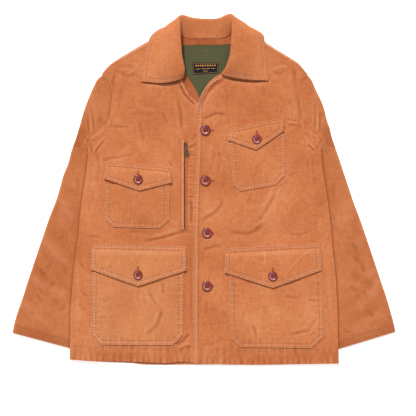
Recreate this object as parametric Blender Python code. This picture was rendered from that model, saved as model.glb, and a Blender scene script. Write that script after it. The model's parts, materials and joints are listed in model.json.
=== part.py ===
"""Military jacket laid flat on its back, as cut and sewn pieces of canvas.

The jacket lies on the plane z = 0. +Y runs from hem to collar, +X to the wearer's left side. Tables are
in millimetres and meshes in metres. A panel is a slab: a grid of plan points between two height
functions. A panel rises where something lies under it, so each layer rests on the one below.
"""

import math

import bmesh
import bpy
import numpy as np

MM = 0.001

# ---------------------------------------------------------------- driving sizes, in millimetres

CANVAS = 1.5  # a canvas panel
THIN = 1.0  # lining, facing, tape and label
DOUBLE = 2.2  # two layers of canvas, as in a flap or the collar
SEAM = 0.3  # between pieces that are sewn or lie on each other
SLEEVE_LOFT = 4.0  # a sleeve pressed flat, both layers and the air between
ARMPIT_SPREAD = 60.0  # run over which the body comes down from the sleeve to the floor

BUTTON_PLACKET_RADIUS = 11.7
BUTTON_FLAP_RADIUS = 10.8
BUTTON_HEIGHT = 3.6

PULL_LENGTH = 27.0
PULL_WIDTH = 10.0
PULL_THICKNESS = 1.2
PULL_TILT = math.radians(11)
PULL_DROOP = math.radians(3)

# ---------------------------------------------------------------- outlines, columns x, y

# Seams of the wearer's right side, which is at -X.
SHOULDER_RIGHT = [(-228.5, 256.5), (-219.5, 268.5), (-207, 280), (-131.5, 320.5), (-61, 358)]
TURN_RIGHT = [(-229.5, 260.5), (-218, 274), (-202.5, 287.5), (-157.5, 315), (-135, 328), (-61, 368)]
ARMHOLE_RIGHT = [
    (-228.5, 256.5), (-216, 247.5), (-209, 237.5), (-205, 208), (-207, 185.5),
    (-210, 158.5), (-229.5, 136), (-246.5, 121), (-261, 108.5),
]
SIDE_RIGHT = [
    (-261, 108.5), (-262, 71), (-265, 39.5), (-271, 3.5), (-278.5, -53), (-282.5, -102.5),
    (-288, -136), (-294.5, -197), (-298.5, -248.5), (-301, -282.5), (-301, -327.5), (-302, -382.5),
]
HEM_RIGHT = [
    (-302, -382.5), (-252, -386), (-160, -387.5), (-85.5, -391), (-48, -387.5), (-23, -389.5),
    (21.5, -389.5),
]
NECK_RIGHT = [
    (-61, 358), (-64, 325), (-61, 291.5), (-53, 264.5), (-49, 245), (-45, 233), (-38, 219.5),
    (-30.5, 209), (-22.5, 201.5), (-13.5, 194.5), (4.5, 187), (21.5, 183.5),
]
EDGE_RIGHT = [(21.5, 183.5), (21.5, -100), (21.5, -389.5)]

# The same seams of the wearer's left side, whose front lies on top.
SHOULDER_LEFT = [(232, 257), (221.5, 269), (210, 279.5), (153, 314), (67.5, 363.5)]
TURN_LEFT = [(232.5, 260), (221, 274), (207.5, 287.5), (162.5, 315), (142.5, 328), (67.5, 372.5)]
ARMHOLE_LEFT = [
    (232, 257), (219.5, 248.5), (213, 239.5), (209, 208), (210, 185.5),
    (214, 161), (233.5, 137), (248.5, 122.5), (263, 108.5),
]
SIDE_LEFT = [
    (263, 108.5), (265, 66.5), (268.5, 40.5), (274.5, 1), (280.5, -39.5), (287, -102.5),
    (290, -136), (295, -181), (298, -226), (301, -282.5), (302, -350), (303, -391.5),
]
HEM_LEFT = [(303, -391.5), (238.5, -392.5), (121.5, -394.5), (64, -394), (-22.5, -392)]
NECK_LEFT = [
    (67.5, 363.5), (72, 325), (67.5, 291.5), (52, 266.5), (39, 260), (25, 253),
    (13.5, 243), (3.5, 230), (-6.5, 212), (-12.5, 196),
]
EDGE_LEFT = [
    (-12.5, 196), (-15, 127), (-16.5, 73), (-20.5, -19), (-22.5, -93.5), (-22, -156.5),
    (-23, -248.5), (-22.5, -392),
]

NECK_BACK = [
    (-61, 358), (-52, 343), (-31.5, 337.5), (4.5, 338.5), (36, 341), (56, 345.5), (67.5, 363.5),
]
HEM_BACK = [
    (-302, -382.5), (-252, -386.5), (-160, -390.5), (-139.5, -394), (-85.5, -394.5),
    (-20, -394), (63, -393), (238.5, -392), (303, -391.5),
]

# Sleeve sections below the armpit, columns: outer fold x, y, inner fold x, y, rise of the inner fold.
SLEEVE_RIGHT = [
    (-290.5, 109, -261, 108.5, 4.4), (-295.5, 95.5, -263.5, 95.5, 2.2), (-299, 84.5, -264.5, 84.5, 0),
    (-302.5, 71, -245, 68.5, 0), (-307, 55, -218, 48.5, 0), (-317, 30.5, -193.5, 19, 0),
    (-325, 1, -187, -17, 0), (-335, -30.5, -189, -55, 0), (-347.5, -62, -198, -95.5, 0),
    (-360, -98, -209, -134, 0), (-372.5, -135, -223, -172, 0), (-385, -172, -235, -210.5, 0),
    (-397, -208, -248.5, -248.5, 0), (-408.5, -244, -263, -287, 0), (-421, -280, -274.5, -323, 0),
    (-427, -302, -281, -343, 0), (-431, -323, -288, -361, 0),
]
SLEEVE_LEFT = [
    (290.5, 109, 263, 108.5, 4.4), (295.5, 95.5, 266, 95.5, 2.2), (299, 84.5, 267, 84.5, 0),
    (304, 71, 247.5, 68.5, 0), (309, 55, 220.5, 48.5, 0), (317, 30.5, 196, 19, 0),
    (327, 1, 189, -17, 0), (337.5, -30.5, 191, -55, 0), (349.5, -62, 200, -95.5, 0),
    (362, -98, 211.5, -134, 0), (374.5, -135, 225, -172, 0), (387, -172, 237.5, -210.5, 0),
    (399, -208, 251, -248.5, 0), (411, -244, 265.5, -287, 0), (421.5, -280, 278, -323, 0),
    (427, -300, 284, -343.5, 0), (431, -320.5, 290, -363.5, 0),
]
# Outer fold of each sleeve above the armpit, from the shoulder tip down.
CAP_RIGHT = [
    (-232.5, 254.5), (-241, 246.5), (-247.5, 233), (-254, 219.5), (-259.5, 206), (-265.5, 191),
    (-270, 178), (-274.5, 163), (-278, 149.5), (-282, 136), (-286, 122.5), (-290.5, 109),
]
CAP_LEFT = [
    (235.5, 255), (243, 245), (248, 233), (254, 219.5), (261, 206), (267.5, 191),
    (271.5, 178), (275, 163), (279, 149.5), (283.5, 136), (286.5, 122.5), (290.5, 109),
]

# What the neck opening shows: the lining between its two edges, and the facings beside it.
LINING_TOP = [(-58.5, 324.5), (4.5, 324.5), (65, 326.5)]
LINING_RIGHT = [
    (-58.5, 324.5), (-56, 291.5), (-45, 268), (-40, 259), (-31, 245), (-22, 232), (-14, 217),
    (-8, 203.5), (-2, 192),
]
LINING_LEFT = [(65, 326.5), (64, 291.5), (54, 260), (34, 239.5), (18, 219.5), (4.5, 192)]
# The facing runs from the left shoulder round the back of the neck and down to the V.
FACING_TOP = [(64, 350), (54, 343.6), (32.5, 338.6), (4.5, 337.6), (-23.5, 337.6), (-45, 341.5), (-57, 346)]
FACING_BOTTOM = [(66, 327.4), (4.5, 325.2), (-58.5, 325.2)]
FACING_OUTER = [
    (-63, 324.5), (-62, 300), (-57, 273.5), (-54, 246.5), (-45, 224), (-32.5, 208), (-16, 192),
]
LABEL = [(-26.5, 285.5), (33, 285.5), (31.5, 262.5), (-24, 259)]

# Collar sections from the wearer's right wing round the neck to the left wing. Columns: the neck
# seam, the roll line, the belly of the fall and its free edge, each as x, y, z.
COLLAR = [
    ((-57, 256, 7.6), (-49, 250.5, 13), (-92, 240.5, 12), (-142, 244, 7.3)),
    ((-55, 270, 7.4), (-45.5, 271, 22), (-90, 270, 18.5), (-138.5, 270, 7.3)),
    ((-59, 296, 7.2), (-50.5, 300.5, 27), (-90, 300.5, 21), (-133.5, 300.5, 7.6)),
    ((-62.5, 323, 7), (-53, 329.5, 29), (-88, 328.5, 22), (-126, 329.5, 8.3)),
    ((-62, 345.5, 6.6), (-54, 359, 29), (-84.5, 352, 22), (-116.5, 347.5, 8.5)),
    ((-57.5, 352.5, 5.6), (-55, 379, 27), (-76.5, 373, 17), (-93.5, 362.5, 4)),
    ((-45, 344, 3.8), (-48.5, 389, 20), (-52, 385.5, 8), (-52, 369, 1.6)),
    ((-23.5, 339.2, 3), (-23.5, 382.5, 13), (-22.5, 377.5, 2.8), (-22.5, 357, 1.4)),
    ((4.5, 339.2, 3), (4.5, 381, 12), (4.5, 376, 2.6), (4.5, 354.5, 1.4)),
    ((32.5, 340.2, 3), (32.5, 382.5, 13), (31.5, 377.5, 2.8), (31.5, 357, 1.4)),
    ((54, 346, 3.8), (57.5, 391.5, 20), (61.5, 388.5, 8), (61.5, 372, 1.6)),
    ((66.5, 355.5, 5.6), (64, 381.5, 27), (87, 375.5, 17), (104, 364.5, 4)),
    ((71.5, 347.5, 6.6), (63.5, 359, 29), (95.5, 353, 22), (132.5, 348, 8.5)),
    ((72, 323, 7), (62.5, 329.5, 29), (98, 328.5, 22), (135.5, 329.5, 8.3)),
    ((66.5, 298, 7.2), (59.5, 300.5, 27), (98, 300.5, 21), (140, 300.5, 7.6)),
    ((57, 276, 7.6), (52, 276, 21), (94.5, 273.5, 18), (142.5, 271, 7.3)),
    ((50.5, 266, 7.9), (41, 259.5, 13), (88, 249.5, 12), (144.5, 245.5, 7.3)),
]
HANGER_SPAN = (-24.5, 28.0)  # across the back of the neck
HANGER_REACH = (0.06, 0.25)  # share of the collar's section, from the neck seam

# Patch pockets: x, y of the top corners, then the left side, the clipped bottom and the right side.
POCKETS = {
    "chest_right": dict(
        front="right", top=[(-220.5, 12.5), (-79, 12.5)],
        bottom=[(-223, -67.5), (-204.5, -84), (-99.5, -87.5), (-79, -69)],
        flap_top=[(-219.5, 63.5), (-75.5, 49)], flap_bottom=[(-225, 25), (-146.5, -2), (-72.5, 16)],
        button=(-148.5, 22.5),
    ),
    "chest_left": dict(
        front="left", top=[(59, 105), (181, 127)],
        bottom=[(65, 9), (83, -3.5), (161.5, 10.5), (182, 31)],
        flap_top=[(57.5, 137), (180, 162)], flap_bottom=[(54.5, 111.5), (117.5, 90), (178.5, 131.5)],
        button=(119, 113),
    ),
    "lower_right": dict(
        front="right", top=[(-251, -160), (-46, -160)],
        bottom=[(-253, -326), (-232, -349), (-70, -350), (-47, -327)],
        flap_top=[(-252, -123), (-40.5, -128.5)],
        flap_bottom=[(-255, -179.5), (-149, -217), (-39.5, -181.5)],
        button=(-148.5, -192.5),
    ),
    "lower_left": dict(
        front="left", top=[(56, -166), (264.5, -160)],
        bottom=[(60, -335), (82.5, -354.5), (242, -356.5), (270, -330.5)],
        flap_top=[(49.5, -132.5), (260.5, -121.5)], flap_bottom=[(46, -186.5), (155, -221), (264.5, -181)],
        button=(155, -195.5),
    ),
}
PLACKET_BUTTONS = [(3, 133.5), (3, 20), (7, -98), (7, -217.5)]

# Zip of the hidden chest pocket, on the wearer's right front beside the placket.
ZIP_TOP, ZIP_BOTTOM = 111.5, -90.0
WELT_SPAN = (-52.5, -46.0)
TAPE_SPAN = (-44.5, -36.5)
SLIDER_AT = (-42.5, 101.0)
SLIDER_SIZE = (7.0, 10.0, 1.8)
BRIDGE_WIDTH = 2.0
BRIDGE_RISE = 3.0
BRIDGE_REACH = 7.0
BRIDGE_WALL = 1.0

# Broad folds in the body and sleeves, columns: start x, y, end x, y, half width, rise.
BODY_FOLDS = [
    (-185, 275, -120, 190, 26, -0.9), (-120, 285, -75, 180, 24, 0.8), (-190, 150, -150, 95, 22, 0.8),
    (-60, 30, -62, -95, 16, 0.7), (-200, -100, -120, -112, 20, -0.7), (-275, -60, -268, -150, 16, 0.8),
    (-262, 60, -235, -10, 18, 0.9), (-235, -352, -110, -372, 14, 0.5),
    (185, 270, 130, 205, 26, -0.9), (120, 285, 90, 175, 24, 0.8), (196, 150, 190, 60, 20, 0.8),
    (262, 60, 240, -20, 18, 0.9), (60, -30, 210, -70, 24, 0.8), (278, -80, 282, -200, 18, 0.7),
    (120, -90, 240, -100, 20, -0.6),
]
SLEEVE_FOLDS = [
    (-249, 208, -252, 112, 9, 1.3), (-268, 165, -276, 85, 10, -0.9), (-300, 60, -318, -70, 20, 1.0),
    (-338, 5, -300, -60, 15, 0.9), (-368, -105, -318, -160, 14, 1.1), (-385, -165, -350, -215, 13, -0.9),
    (-375, -205, -320, -235, 14, 1.0), (-410, -255, -360, -300, 14, 0.9), (-400, -300, -330, -322, 13, 0.7),
    (249, 208, 253, 112, 9, 1.3), (268, 165, 277, 85, 10, -0.9), (303, 60, 322, -70, 20, 1.0),
    (338, -10, 312, -75, 15, 0.9), (352, -120, 378, -185, 14, 1.1), (340, -195, 372, -215, 13, -0.9),
    (392, -215, 350, -265, 14, 1.0), (400, -285, 345, -310, 13, 0.8),
]

# ---------------------------------------------------------------- shades and gloss

FINISHES = {  # columns: colour, roughness, metallic
    "canvas": ((0.62, 0.21, 0.09), 0.86, 0.0),
    "lining": ((0.115, 0.107, 0.051), 0.8, 0.0),
    "label": ((0.012, 0.01, 0.019), 0.7, 0.0),
    "button": ((0.19, 0.024, 0.024), 0.25, 0.0),
    "bronze": ((0.2, 0.15, 0.11), 0.38, 1.0),
}


def finish(name):
    """The Principled BSDF of one finish, made once."""
    material = bpy.data.materials.get(name)
    if material is None:
        material = bpy.data.materials.new(name)
        material.use_nodes = True
        colour, roughness, metallic = FINISHES[name]
        shader = material.node_tree.nodes["Principled BSDF"]
        shader.inputs["Base Color"].default_value = (*colour, 1.0)
        shader.inputs["Roughness"].default_value = roughness
        shader.inputs["Metallic"].default_value = metallic
    return material


# ---------------------------------------------------------------- curves and grids in plan


def smooth(t):
    """0 to 1 with level ends, for t from 0 to 1."""
    t = np.clip(t, 0.0, 1.0)
    return t * t * (3 - 2 * t)


def rounded(points, steps=8):
    """A smooth line through the points, as Catmull-Rom arcs of a few straight steps each."""
    points = np.asarray(points, float)
    before = np.vstack([2 * points[0] - points[1], points[:-2], points[-2]])[: len(points) - 1]
    after = np.vstack([points[2:], 2 * points[-1] - points[-2]])
    start, end = points[:-1], points[1:]
    t = (np.arange(steps) / steps)[:, None, None]
    arcs = 0.5 * (
        2 * start
        + (end - before) * t
        + (2 * before - 5 * start + 4 * end - after) * t**2
        + (3 * start - before - 3 * end + after) * t**3
    )
    return np.vstack([arcs.transpose(1, 0, 2).reshape(-1, points.shape[1]), points[-1:]])


def lengths(points):
    """Distance along the line at each of its points, from 0 to 1."""
    steps = np.linalg.norm(np.diff(points, axis=0), axis=1)
    total = np.concatenate([[0.0], np.cumsum(steps)])
    return total / total[-1]


def along(points, shares, curved=True):
    """Points of the line at these shares of its length."""
    line = rounded(points) if curved and len(points) > 2 else np.asarray(points, float)
    at = lengths(line)
    return np.column_stack([np.interp(shares, at, line[:, k]) for k in range(line.shape[1])])


def cornered(points, count):
    """Shares of the line's length that include each of its points, about count steps in all."""
    at = lengths(np.asarray(points, float))
    shares = [0.0]
    for start, end in zip(at[:-1], at[1:]):
        steps = max(1, round(count * (end - start)))
        shares.extend(np.linspace(start, end, steps + 1)[1:])
    return np.array(shares)


def coons(top, bottom, left, right):
    """A grid of plan points filling four sides: the two ruled surfaces added, less their corners."""
    u = (0.5 * (lengths(top) + lengths(bottom)))[None, :, None]
    v = (0.5 * (lengths(left) + lengths(right)))[:, None, None]
    down = (1 - v) * top[None] + v * bottom[None]
    across = (1 - u) * left[:, None] + u * right[:, None]
    corners = (1 - v) * ((1 - u) * top[0] + u * top[-1]) + v * ((1 - u) * bottom[0] + u * bottom[-1])
    return down + across - corners


def distance(x, y, line):
    """Distance from plan points to a line of straight steps."""
    line = np.asarray(line, float)
    nearest = np.full(np.shape(x), np.inf)
    for (x0, y0), (x1, y1) in zip(line[:-1], line[1:]):
        dx, dy = x1 - x0, y1 - y0
        t = np.clip(((x - x0) * dx + (y - y0) * dy) / (dx * dx + dy * dy), 0, 1)
        nearest = np.minimum(nearest, np.hypot(x - x0 - t * dx, y - y0 - t * dy))
    return nearest


def inside(x, y, region):
    """Whether plan points lie in a region, by counting the borders crossed towards +X."""
    crossed = np.zeros(np.shape(x), bool)
    for (x0, y0), (x1, y1) in zip(region, region[1:] + region[:1]):
        if y0 != y1:
            spans = (y0 > y) != (y1 > y)
            crossed ^= spans & (x < x0 + (y - y0) * (x1 - x0) / (y1 - y0))
    return crossed


def over(x, y, region, clear, run):
    """1 on the region and for the clear distance round it, falling to 0 over the run."""
    apart = np.where(inside(x, y, region), 0.0, distance(x, y, region + region[:1]))
    return smooth(1 - (apart - clear) / run)


def folds(x, y, table):
    """Height of soft folds: each is a bell across its line, dying away past its ends."""
    height = np.zeros(np.shape(x))
    for x0, y0, x1, y1, width, rise in table:
        height += rise * np.exp(-((distance(x, y, [(x0, y0), (x1, y1)]) / width) ** 2))
    return height


# ---------------------------------------------------------------- heights

UNDER_RIGHT = (
    [(-279, 97)] + [(row[2], row[3]) for row in SLEEVE_RIGHT[2:]] + [(-288, -430), (-440, -430), (-440, 97)]
)
UNDER_LEFT = (
    [(281, 97)] + [(row[2], row[3]) for row in SLEEVE_LEFT[2:]] + [(290, -430), (440, -430), (440, 97)]
)
UNDERLAP = [(-14, 196), (4.5, 187), (21.5, 183.5), (21.5, -400), (-24, -400), (-23, -93.5), (-16, 73)]
NECK_HOLE = LINING_RIGHT + LINING_LEFT[::-1]
BODY = ARMHOLE_RIGHT + SIDE_RIGHT[1:] + SIDE_LEFT[::-1] + ARMHOLE_LEFT[-2::-1]


def floor_rise(x, y):
    """Underside of the back panel: on the floor, and on the sleeves where they pass beneath it."""
    hidden = over(x, y, UNDER_RIGHT, 22, ARMPIT_SPREAD) + over(x, y, UNDER_LEFT, 22, ARMPIT_SPREAD)
    return (SLEEVE_LOFT + 0.5) * hidden


def front_under(x, y, side):
    """Underside of a front: close on the back at the side seams, with a little air in the middle."""
    from_side = np.minimum(distance(x, y, SIDE_RIGHT), distance(x, y, SIDE_LEFT))
    on_neck = over(x, y, NECK_HOLE, 5, 26)
    on_underlap = over(x, y, UNDERLAP, 12, 55)
    air = smooth(from_side / 50) + 0.8 * smooth((from_side - 40) / 90) * (1 - on_neck) * (1 - on_underlap)
    still = 1 - np.maximum(over(x, y, UNDERLAP, 5, 30), on_neck)
    creased = folds(x, y, BODY_FOLDS) * still * smooth(from_side / 30)
    height = floor_rise(x, y) + CANVAS + SEAM + air + (THIN + SEAM) * on_neck + creased
    if side == "left":
        height = height + (CANVAS + SEAM + 0.35) * on_underlap
    return height


def front_over(x, y, side):
    """Upper face of a front, thicker along the neckline and the leading edge, where it is turned in."""
    if side == "left":
        thick = 0.8 * smooth(1 - (distance(x, y, NECK_LEFT[4:] + EDGE_LEFT[1:]) - 3) / 9)
    else:
        thick = 0.6 * smooth(1 - (distance(x, y, NECK_RIGHT[4:9]) - 3) / 7)
    return front_under(x, y, side) + CANVAS + thick


def top_near(height, x, y, radius):
    """The highest of a height function under a round piece."""
    angle = np.linspace(0, 2 * math.pi, 24, endpoint=False)
    rings = np.linspace(0, radius, 4)[:, None]
    return float(np.max(height(x + rings * np.cos(angle), y + rings * np.sin(angle))))


# ---------------------------------------------------------------- meshes


def piece(name, points, faces, material, at=(0, 0, 0), crease=35):
    """A named object from points in millimetres, its faces turned outwards."""
    mesh = bpy.data.meshes.new(name)
    mesh.from_pydata((np.asarray(points) * MM).tolist(), [], faces)
    work = bmesh.new()
    work.from_mesh(mesh)
    bmesh.ops.recalc_face_normals(work, faces=work.faces)
    work.to_mesh(mesh)
    work.free()
    mesh.shade_smooth()
    mesh.set_sharp_from_angle(angle=math.radians(crease))
    mesh.materials.append(finish(material))
    made = bpy.data.objects.new(name, mesh)
    made.location = [value * MM for value in at]
    bpy.context.scene.collection.objects.link(made)
    return made


def quads(first):
    """Faces between neighbouring rows and columns of a grid of point numbers."""
    return np.stack([first[:-1, :-1], first[:-1, 1:], first[1:, 1:], first[1:, :-1]], axis=-1).reshape(-1, 4)


def strip(one, other):
    """Faces between two lines of point numbers."""
    return np.stack([one[:-1], one[1:], other[1:], other[:-1]], axis=-1)


def walled(name, low, high, material):
    """A closed sheet between two grids of points of the same shape."""
    rows, columns = low.shape[:2]
    lower = np.arange(rows * columns).reshape(rows, columns)
    upper = lower + rows * columns
    border = np.concatenate([lower[0, :-1], lower[:-1, -1], lower[-1, :0:-1], lower[::-1, 0]])
    faces = np.vstack([quads(lower), quads(upper), strip(border, border + rows * columns)])
    points = np.concatenate([low.reshape(-1, 3), high.reshape(-1, 3)])
    return piece(name, points, faces.tolist(), material)


def slab(name, plan, under, upper, material):
    """A sheet over a grid of plan points, between two heights."""
    low = np.dstack([plan, under])
    high = np.dstack([plan, upper])
    return walled(name, low, high, material)


# ---------------------------------------------------------------- body panels

ARMHOLE_SHARES = np.linspace(0, 1, 13)
NECK_SHARES = np.array([0, 0.2, 0.38, 0.48, 0.57, 0.66, 0.75, 0.84, 0.92, 1])
SIDE_SHARES = np.array([0, 12, 27, 47, 75, 107, 141, 176, 212, 248, 284, 320, 356, 394, 432, 461, 491]) / 491
EDGE_ROWS = len(ARMHOLE_SHARES) + len(SIDE_SHARES) - len(NECK_SHARES)
FRONT_COLUMNS = np.array([0, 0.055, 0.12, 0.2, 0.29, 0.385, 0.48, 0.575, 0.67, 0.765, 0.86, 0.945, 1])
BACK_COLUMNS = np.array([0, 0.035, 0.075, 0.12, 0.165, 0.215, 0.285, 0.385])
SHOULDER_SHARES = np.array([0, 0.055, 0.12, 0.2, 0.48, 0.765, 1])


def side_line(armhole, side, shift):
    """The armhole and side seam in one, moved in by the shift from the sleeve."""
    line = np.vstack([along(armhole, ARMHOLE_SHARES), along(side, SIDE_SHARES)[1:]])
    return line + [shift, 0]


def front(side, shoulder, armhole, seam, hem, neck, edge):
    """One front: shoulder seam to hem, and armhole and side seam to neckline and leading edge."""
    inward = 0.45 if side == "right" else -0.45
    left = side_line(armhole, seam, inward)
    right = np.vstack([along(neck, NECK_SHARES), along(edge, np.linspace(0, 1, EDGE_ROWS))[1:]])
    top = along(shoulder, FRONT_COLUMNS, curved=False)
    bottom = along(hem, FRONT_COLUMNS, curved=False) + [0, 0]
    top[0], top[-1], bottom[0], bottom[-1] = left[0], right[0], left[-1], right[-1]
    plan = coons(top, bottom, left, right)
    x, y = plan[..., 0], plan[..., 1]
    return slab("front_" + side, plan, front_under(x, y, side), front_over(x, y, side), "canvas")


def outset(line, gap):
    """A line's points moved to its left-hand side by the gap."""
    step = np.gradient(line, axis=0)
    step = step / np.linalg.norm(step, axis=1, keepdims=True)
    return line + gap * np.column_stack([-step[:, 1], step[:, 0]])


def back():
    """The back, with its shoulders turned over to the front as far as the shoulder seams."""
    columns = np.concatenate([BACK_COLUMNS, [0.5], 1 - BACK_COLUMNS[::-1]])
    left = side_line(ARMHOLE_RIGHT, SIDE_RIGHT, 0.45)
    right = side_line(ARMHOLE_LEFT, SIDE_LEFT, -0.45)
    shoulders = len(SHOULDER_SHARES) - 1
    neck_shares = np.linspace(0, 1, len(columns) - 2 * shoulders)
    mirrored = 1 - SHOULDER_SHARES[::-1]
    seam = np.vstack(
        [
            along(SHOULDER_RIGHT, SHOULDER_SHARES[:-1], curved=False),
            along(NECK_BACK, neck_shares),
            along(SHOULDER_LEFT[::-1], mirrored[1:], curved=False),
        ]
    )
    inner = outset(seam, 0.5)
    outer = np.vstack(
        [
            along(TURN_RIGHT, SHOULDER_SHARES[:-1]),
            outset(seam, 4.0)[shoulders:-shoulders],
            along(TURN_LEFT[::-1], mirrored[1:]),
        ]
    )
    outer[shoulders], outer[-shoulders - 1] = inner[shoulders] + [0, 2], inner[-shoulders - 1] + [0, 2]
    bottom = along(HEM_BACK, columns, curved=False)
    inner[0] = left[0] + [-0.25, 0.5]
    inner[-1] = right[0] + [0.25, 0.5]
    left[0], right[0] = inner[0], inner[-1]
    bottom[0], bottom[-1] = left[-1], right[-1]
    panel = coons(inner, bottom, left, right)
    plan = np.concatenate([outer[None], (inner + 0.05 * (outer - inner))[None], panel])
    under = floor_rise(plan[..., 0], plan[..., 1])
    upper = under + CANVAS
    turned = np.ones(len(columns), bool)
    turned[shoulders + 1 : -shoulders - 1] = False
    upper[0, turned] = 3.3
    upper[1, turned] = 4.4
    return slab("back_panel", plan, under, upper, "canvas")


# ---------------------------------------------------------------- sleeves


def sleeve(side, cap, armhole, sections):
    """A sleeve pressed flat. Above the armpit its two layers are open towards the armhole, and below
    it they meet in an inner fold that passes under the body."""
    outwards = -0.45 if side == "right" else 0.45
    seams = len(ARMHOLE_SHARES) - 1
    seam_line = along(armhole, ARMHOLE_SHARES)[:-1] + [outwards, 0]
    outer_cap = along(cap, np.linspace(0, 1, seams + 1))[:-1]
    table = np.array(sections, float)
    outer = np.vstack([outer_cap, table[:, 0:2]])
    inner = np.vstack([seam_line, table[:, 2:4]])
    inner[seams:seams + 1] += [outwards, 0]
    rise = np.concatenate([floor_rise(seam_line[:, 0], seam_line[:, 1]), table[:, 4]])
    front_height = front_over(inner[:, 0], inner[:, 1], side) - rise
    loft = np.where(np.arange(len(outer)) <= seams, front_height, SLEEVE_LOFT)
    width = np.linalg.norm(inner - outer, axis=1)
    closed = np.arange(len(outer)) >= seams

    def skin(inset):
        """Points of one skin, each row running from the lower inner end round the fold to the upper."""
        steps = np.linspace(0, 1, 7)
        first = np.minimum(3.0 + 0.9 * inset, 0.62 * width)[:, None]
        last = np.where(closed, width - 3.0 - 0.9 * inset, width)[:, None]
        share = (first + (last - first) * steps) / width[:, None]
        nose = (1.35 * inset / width)[:, None]
        end = 1 - np.where(closed, 1.35 * inset / width, 0)[:, None]
        share = np.hstack([share[:, ::-1], nose, share, end])
        plan = outer[:, None] + share[..., None] * (inner - outer)[:, None]
        x, y = plan[..., 0], plan[..., 1]
        low = rise[:, None] * smooth(share)
        free = 1 - over(x, y, BODY, 5, 22)
        high = low + SLEEVE_LOFT + (loft - SLEEVE_LOFT)[:, None] * share**2 + free * folds(x, y, SLEEVE_FOLDS)
        low, high = low + inset, high - inset
        middle = 0.5 * (low + high)
        z = np.hstack([low[:, :7], middle[:, 7:8], high[:, 8:15], middle[:, 15:]])
        return np.dstack([plan, z])

    outside, lining = skin(0.0), skin(CANVAS)
    rows, columns = outside.shape[:2]
    first = np.arange(rows * columns).reshape(rows, columns)
    second = first + rows * columns
    below = slice(seams, None)
    cap_line = [columns - 2, columns - 1, 0]
    faces = [
        quads(first[:, :-1]),
        quads(second[:, :-1]),
        quads(first[below][:, cap_line]),
        quads(second[below][:, cap_line]),
        strip(first[: seams + 1, 0], second[: seams + 1, 0]),
        strip(first[: seams + 1, -2], second[: seams + 1, -2]),
        strip(first[0, :-1], second[0, :-1]),
        strip(first[seams, cap_line], second[seams, cap_line]),
        strip(np.append(first[-1], first[-1, 0]), np.append(second[-1], second[-1, 0])),
    ]
    used = np.unique(np.concatenate([face.ravel() for face in faces]))
    renumber = np.zeros(2 * rows * columns, int)
    renumber[used] = np.arange(len(used))
    points = np.concatenate([outside.reshape(-1, 3), lining.reshape(-1, 3)])[used]
    return piece("sleeve_" + side, points, renumber[np.vstack(faces)].tolist(), "canvas")


# ---------------------------------------------------------------- collar and neck


def collar_middle(rows, columns):
    """The collar's middle surface: smooth along the neck, and from neck seam over the roll to the edge."""
    sections = np.array(COLLAR, float)
    around = np.stack([along(sections[:, k], np.linspace(0, 1, rows)) for k in range(4)], axis=1)
    across = np.array([rounded(section, steps=12) for section in around])
    picks = np.round(np.interp(columns, np.linspace(0, 1, across.shape[1]), range(across.shape[1]))).astype(int)
    return across[:, picks]


def normals(grid):
    """Unit normals of a grid surface from its neighbouring points."""
    along_rows = np.gradient(grid, axis=0)
    along_columns = np.gradient(grid, axis=1)
    cross = np.cross(along_rows, along_columns)
    return cross / np.linalg.norm(cross, axis=-1, keepdims=True)


COLLAR_COLUMNS = np.array([0, 0.1, 0.22, 0.3, 0.36, 0.44, 0.53, 0.64, 0.77, 0.89, 1])


def collar():
    middle = collar_middle(33, COLLAR_COLUMNS)
    out = normals(middle)
    return walled("collar", middle - out * DOUBLE / 2, middle + out * DOUBLE / 2, "canvas")


def on_collar(name, span, reach, wall, material):
    """A band on the collar's inner face, made from the collar's points and moved off it."""
    middle = collar_middle(129, np.linspace(*reach, 4))
    keep = np.abs(middle[:, 0, 0] - sum(span) / 2) <= (span[1] - span[0]) / 2
    middle = middle[keep & (middle[:, 0, 1] > 330)]
    out = normals(middle)
    out = out * np.sign(out[..., 2:])
    start = DOUBLE / 2 + SEAM + 0.1
    return walled(name, middle + out * start, middle + out * (start + wall), material)


def neck_pieces():
    base = CANVAS + SEAM
    shares = np.linspace(0, 1, 9)
    right, left = along(LINING_RIGHT, shares), along(LINING_LEFT, shares)
    top = along(LINING_TOP, shares, curved=False)
    bottom = along([right[-1], left[-1]], shares)
    level_slab("lining", coons(top, bottom, right, left), base, THIN, "lining")
    inner = np.vstack([along(FACING_BOTTOM, shares[:-1], curved=False), outset(right, -0.6)])
    outer = np.vstack([along(FACING_TOP, shares[:-1]), along(FACING_OUTER, shares)])
    across = np.linspace(0, 1, 3)[None, :, None]
    level_slab("neck_facing", inner[:, None] + across * (outer - inner)[:, None], base, THIN, "canvas")
    corners = np.array(LABEL, float)
    label = np.array([[corners[0], corners[1]], [corners[3], corners[2]]])
    level_slab("neck_label", label, base + THIN + SEAM, THIN, "label")


def level_slab(name, plan, base, wall, material):
    flat = np.full(plan.shape[:2], base)
    return slab(name, plan, flat, flat + wall, material)


# ---------------------------------------------------------------- pockets and flaps


def pocket_grid(top, bottom, corners, columns, rows):
    """Plan grid of a pocket or a flap, whose bottom line starts and ends at the given corner numbers."""
    shares = cornered(bottom[corners[0] : corners[1] + 1], columns)
    upper = along(top, shares)
    lower = along(bottom[corners[0] : corners[1] + 1], shares, curved=False)
    ends = np.linspace(0, 1, rows)
    left = along([upper[0], lower[0]], ends)
    right = along([upper[-1], lower[-1]], ends)
    return coons(upper, lower, left, right), shares, ends


def patch_pocket(name, spec):
    plan, u, v = pocket_grid(spec["top"], spec["bottom"], (0, 3), 7, 9)
    x, y = plan[..., 0], plan[..., 1]
    swell = np.sin(np.pi * u)[None] * (smooth((v - 0.2) / 0.3) * smooth((1 - v) / 0.25))[:, None]
    under = front_over(x, y, spec["front"]) + SEAM + 0.25 + 0.9 * swell
    return slab("pocket_" + name, plan, under, under + CANVAS, "canvas")


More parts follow.
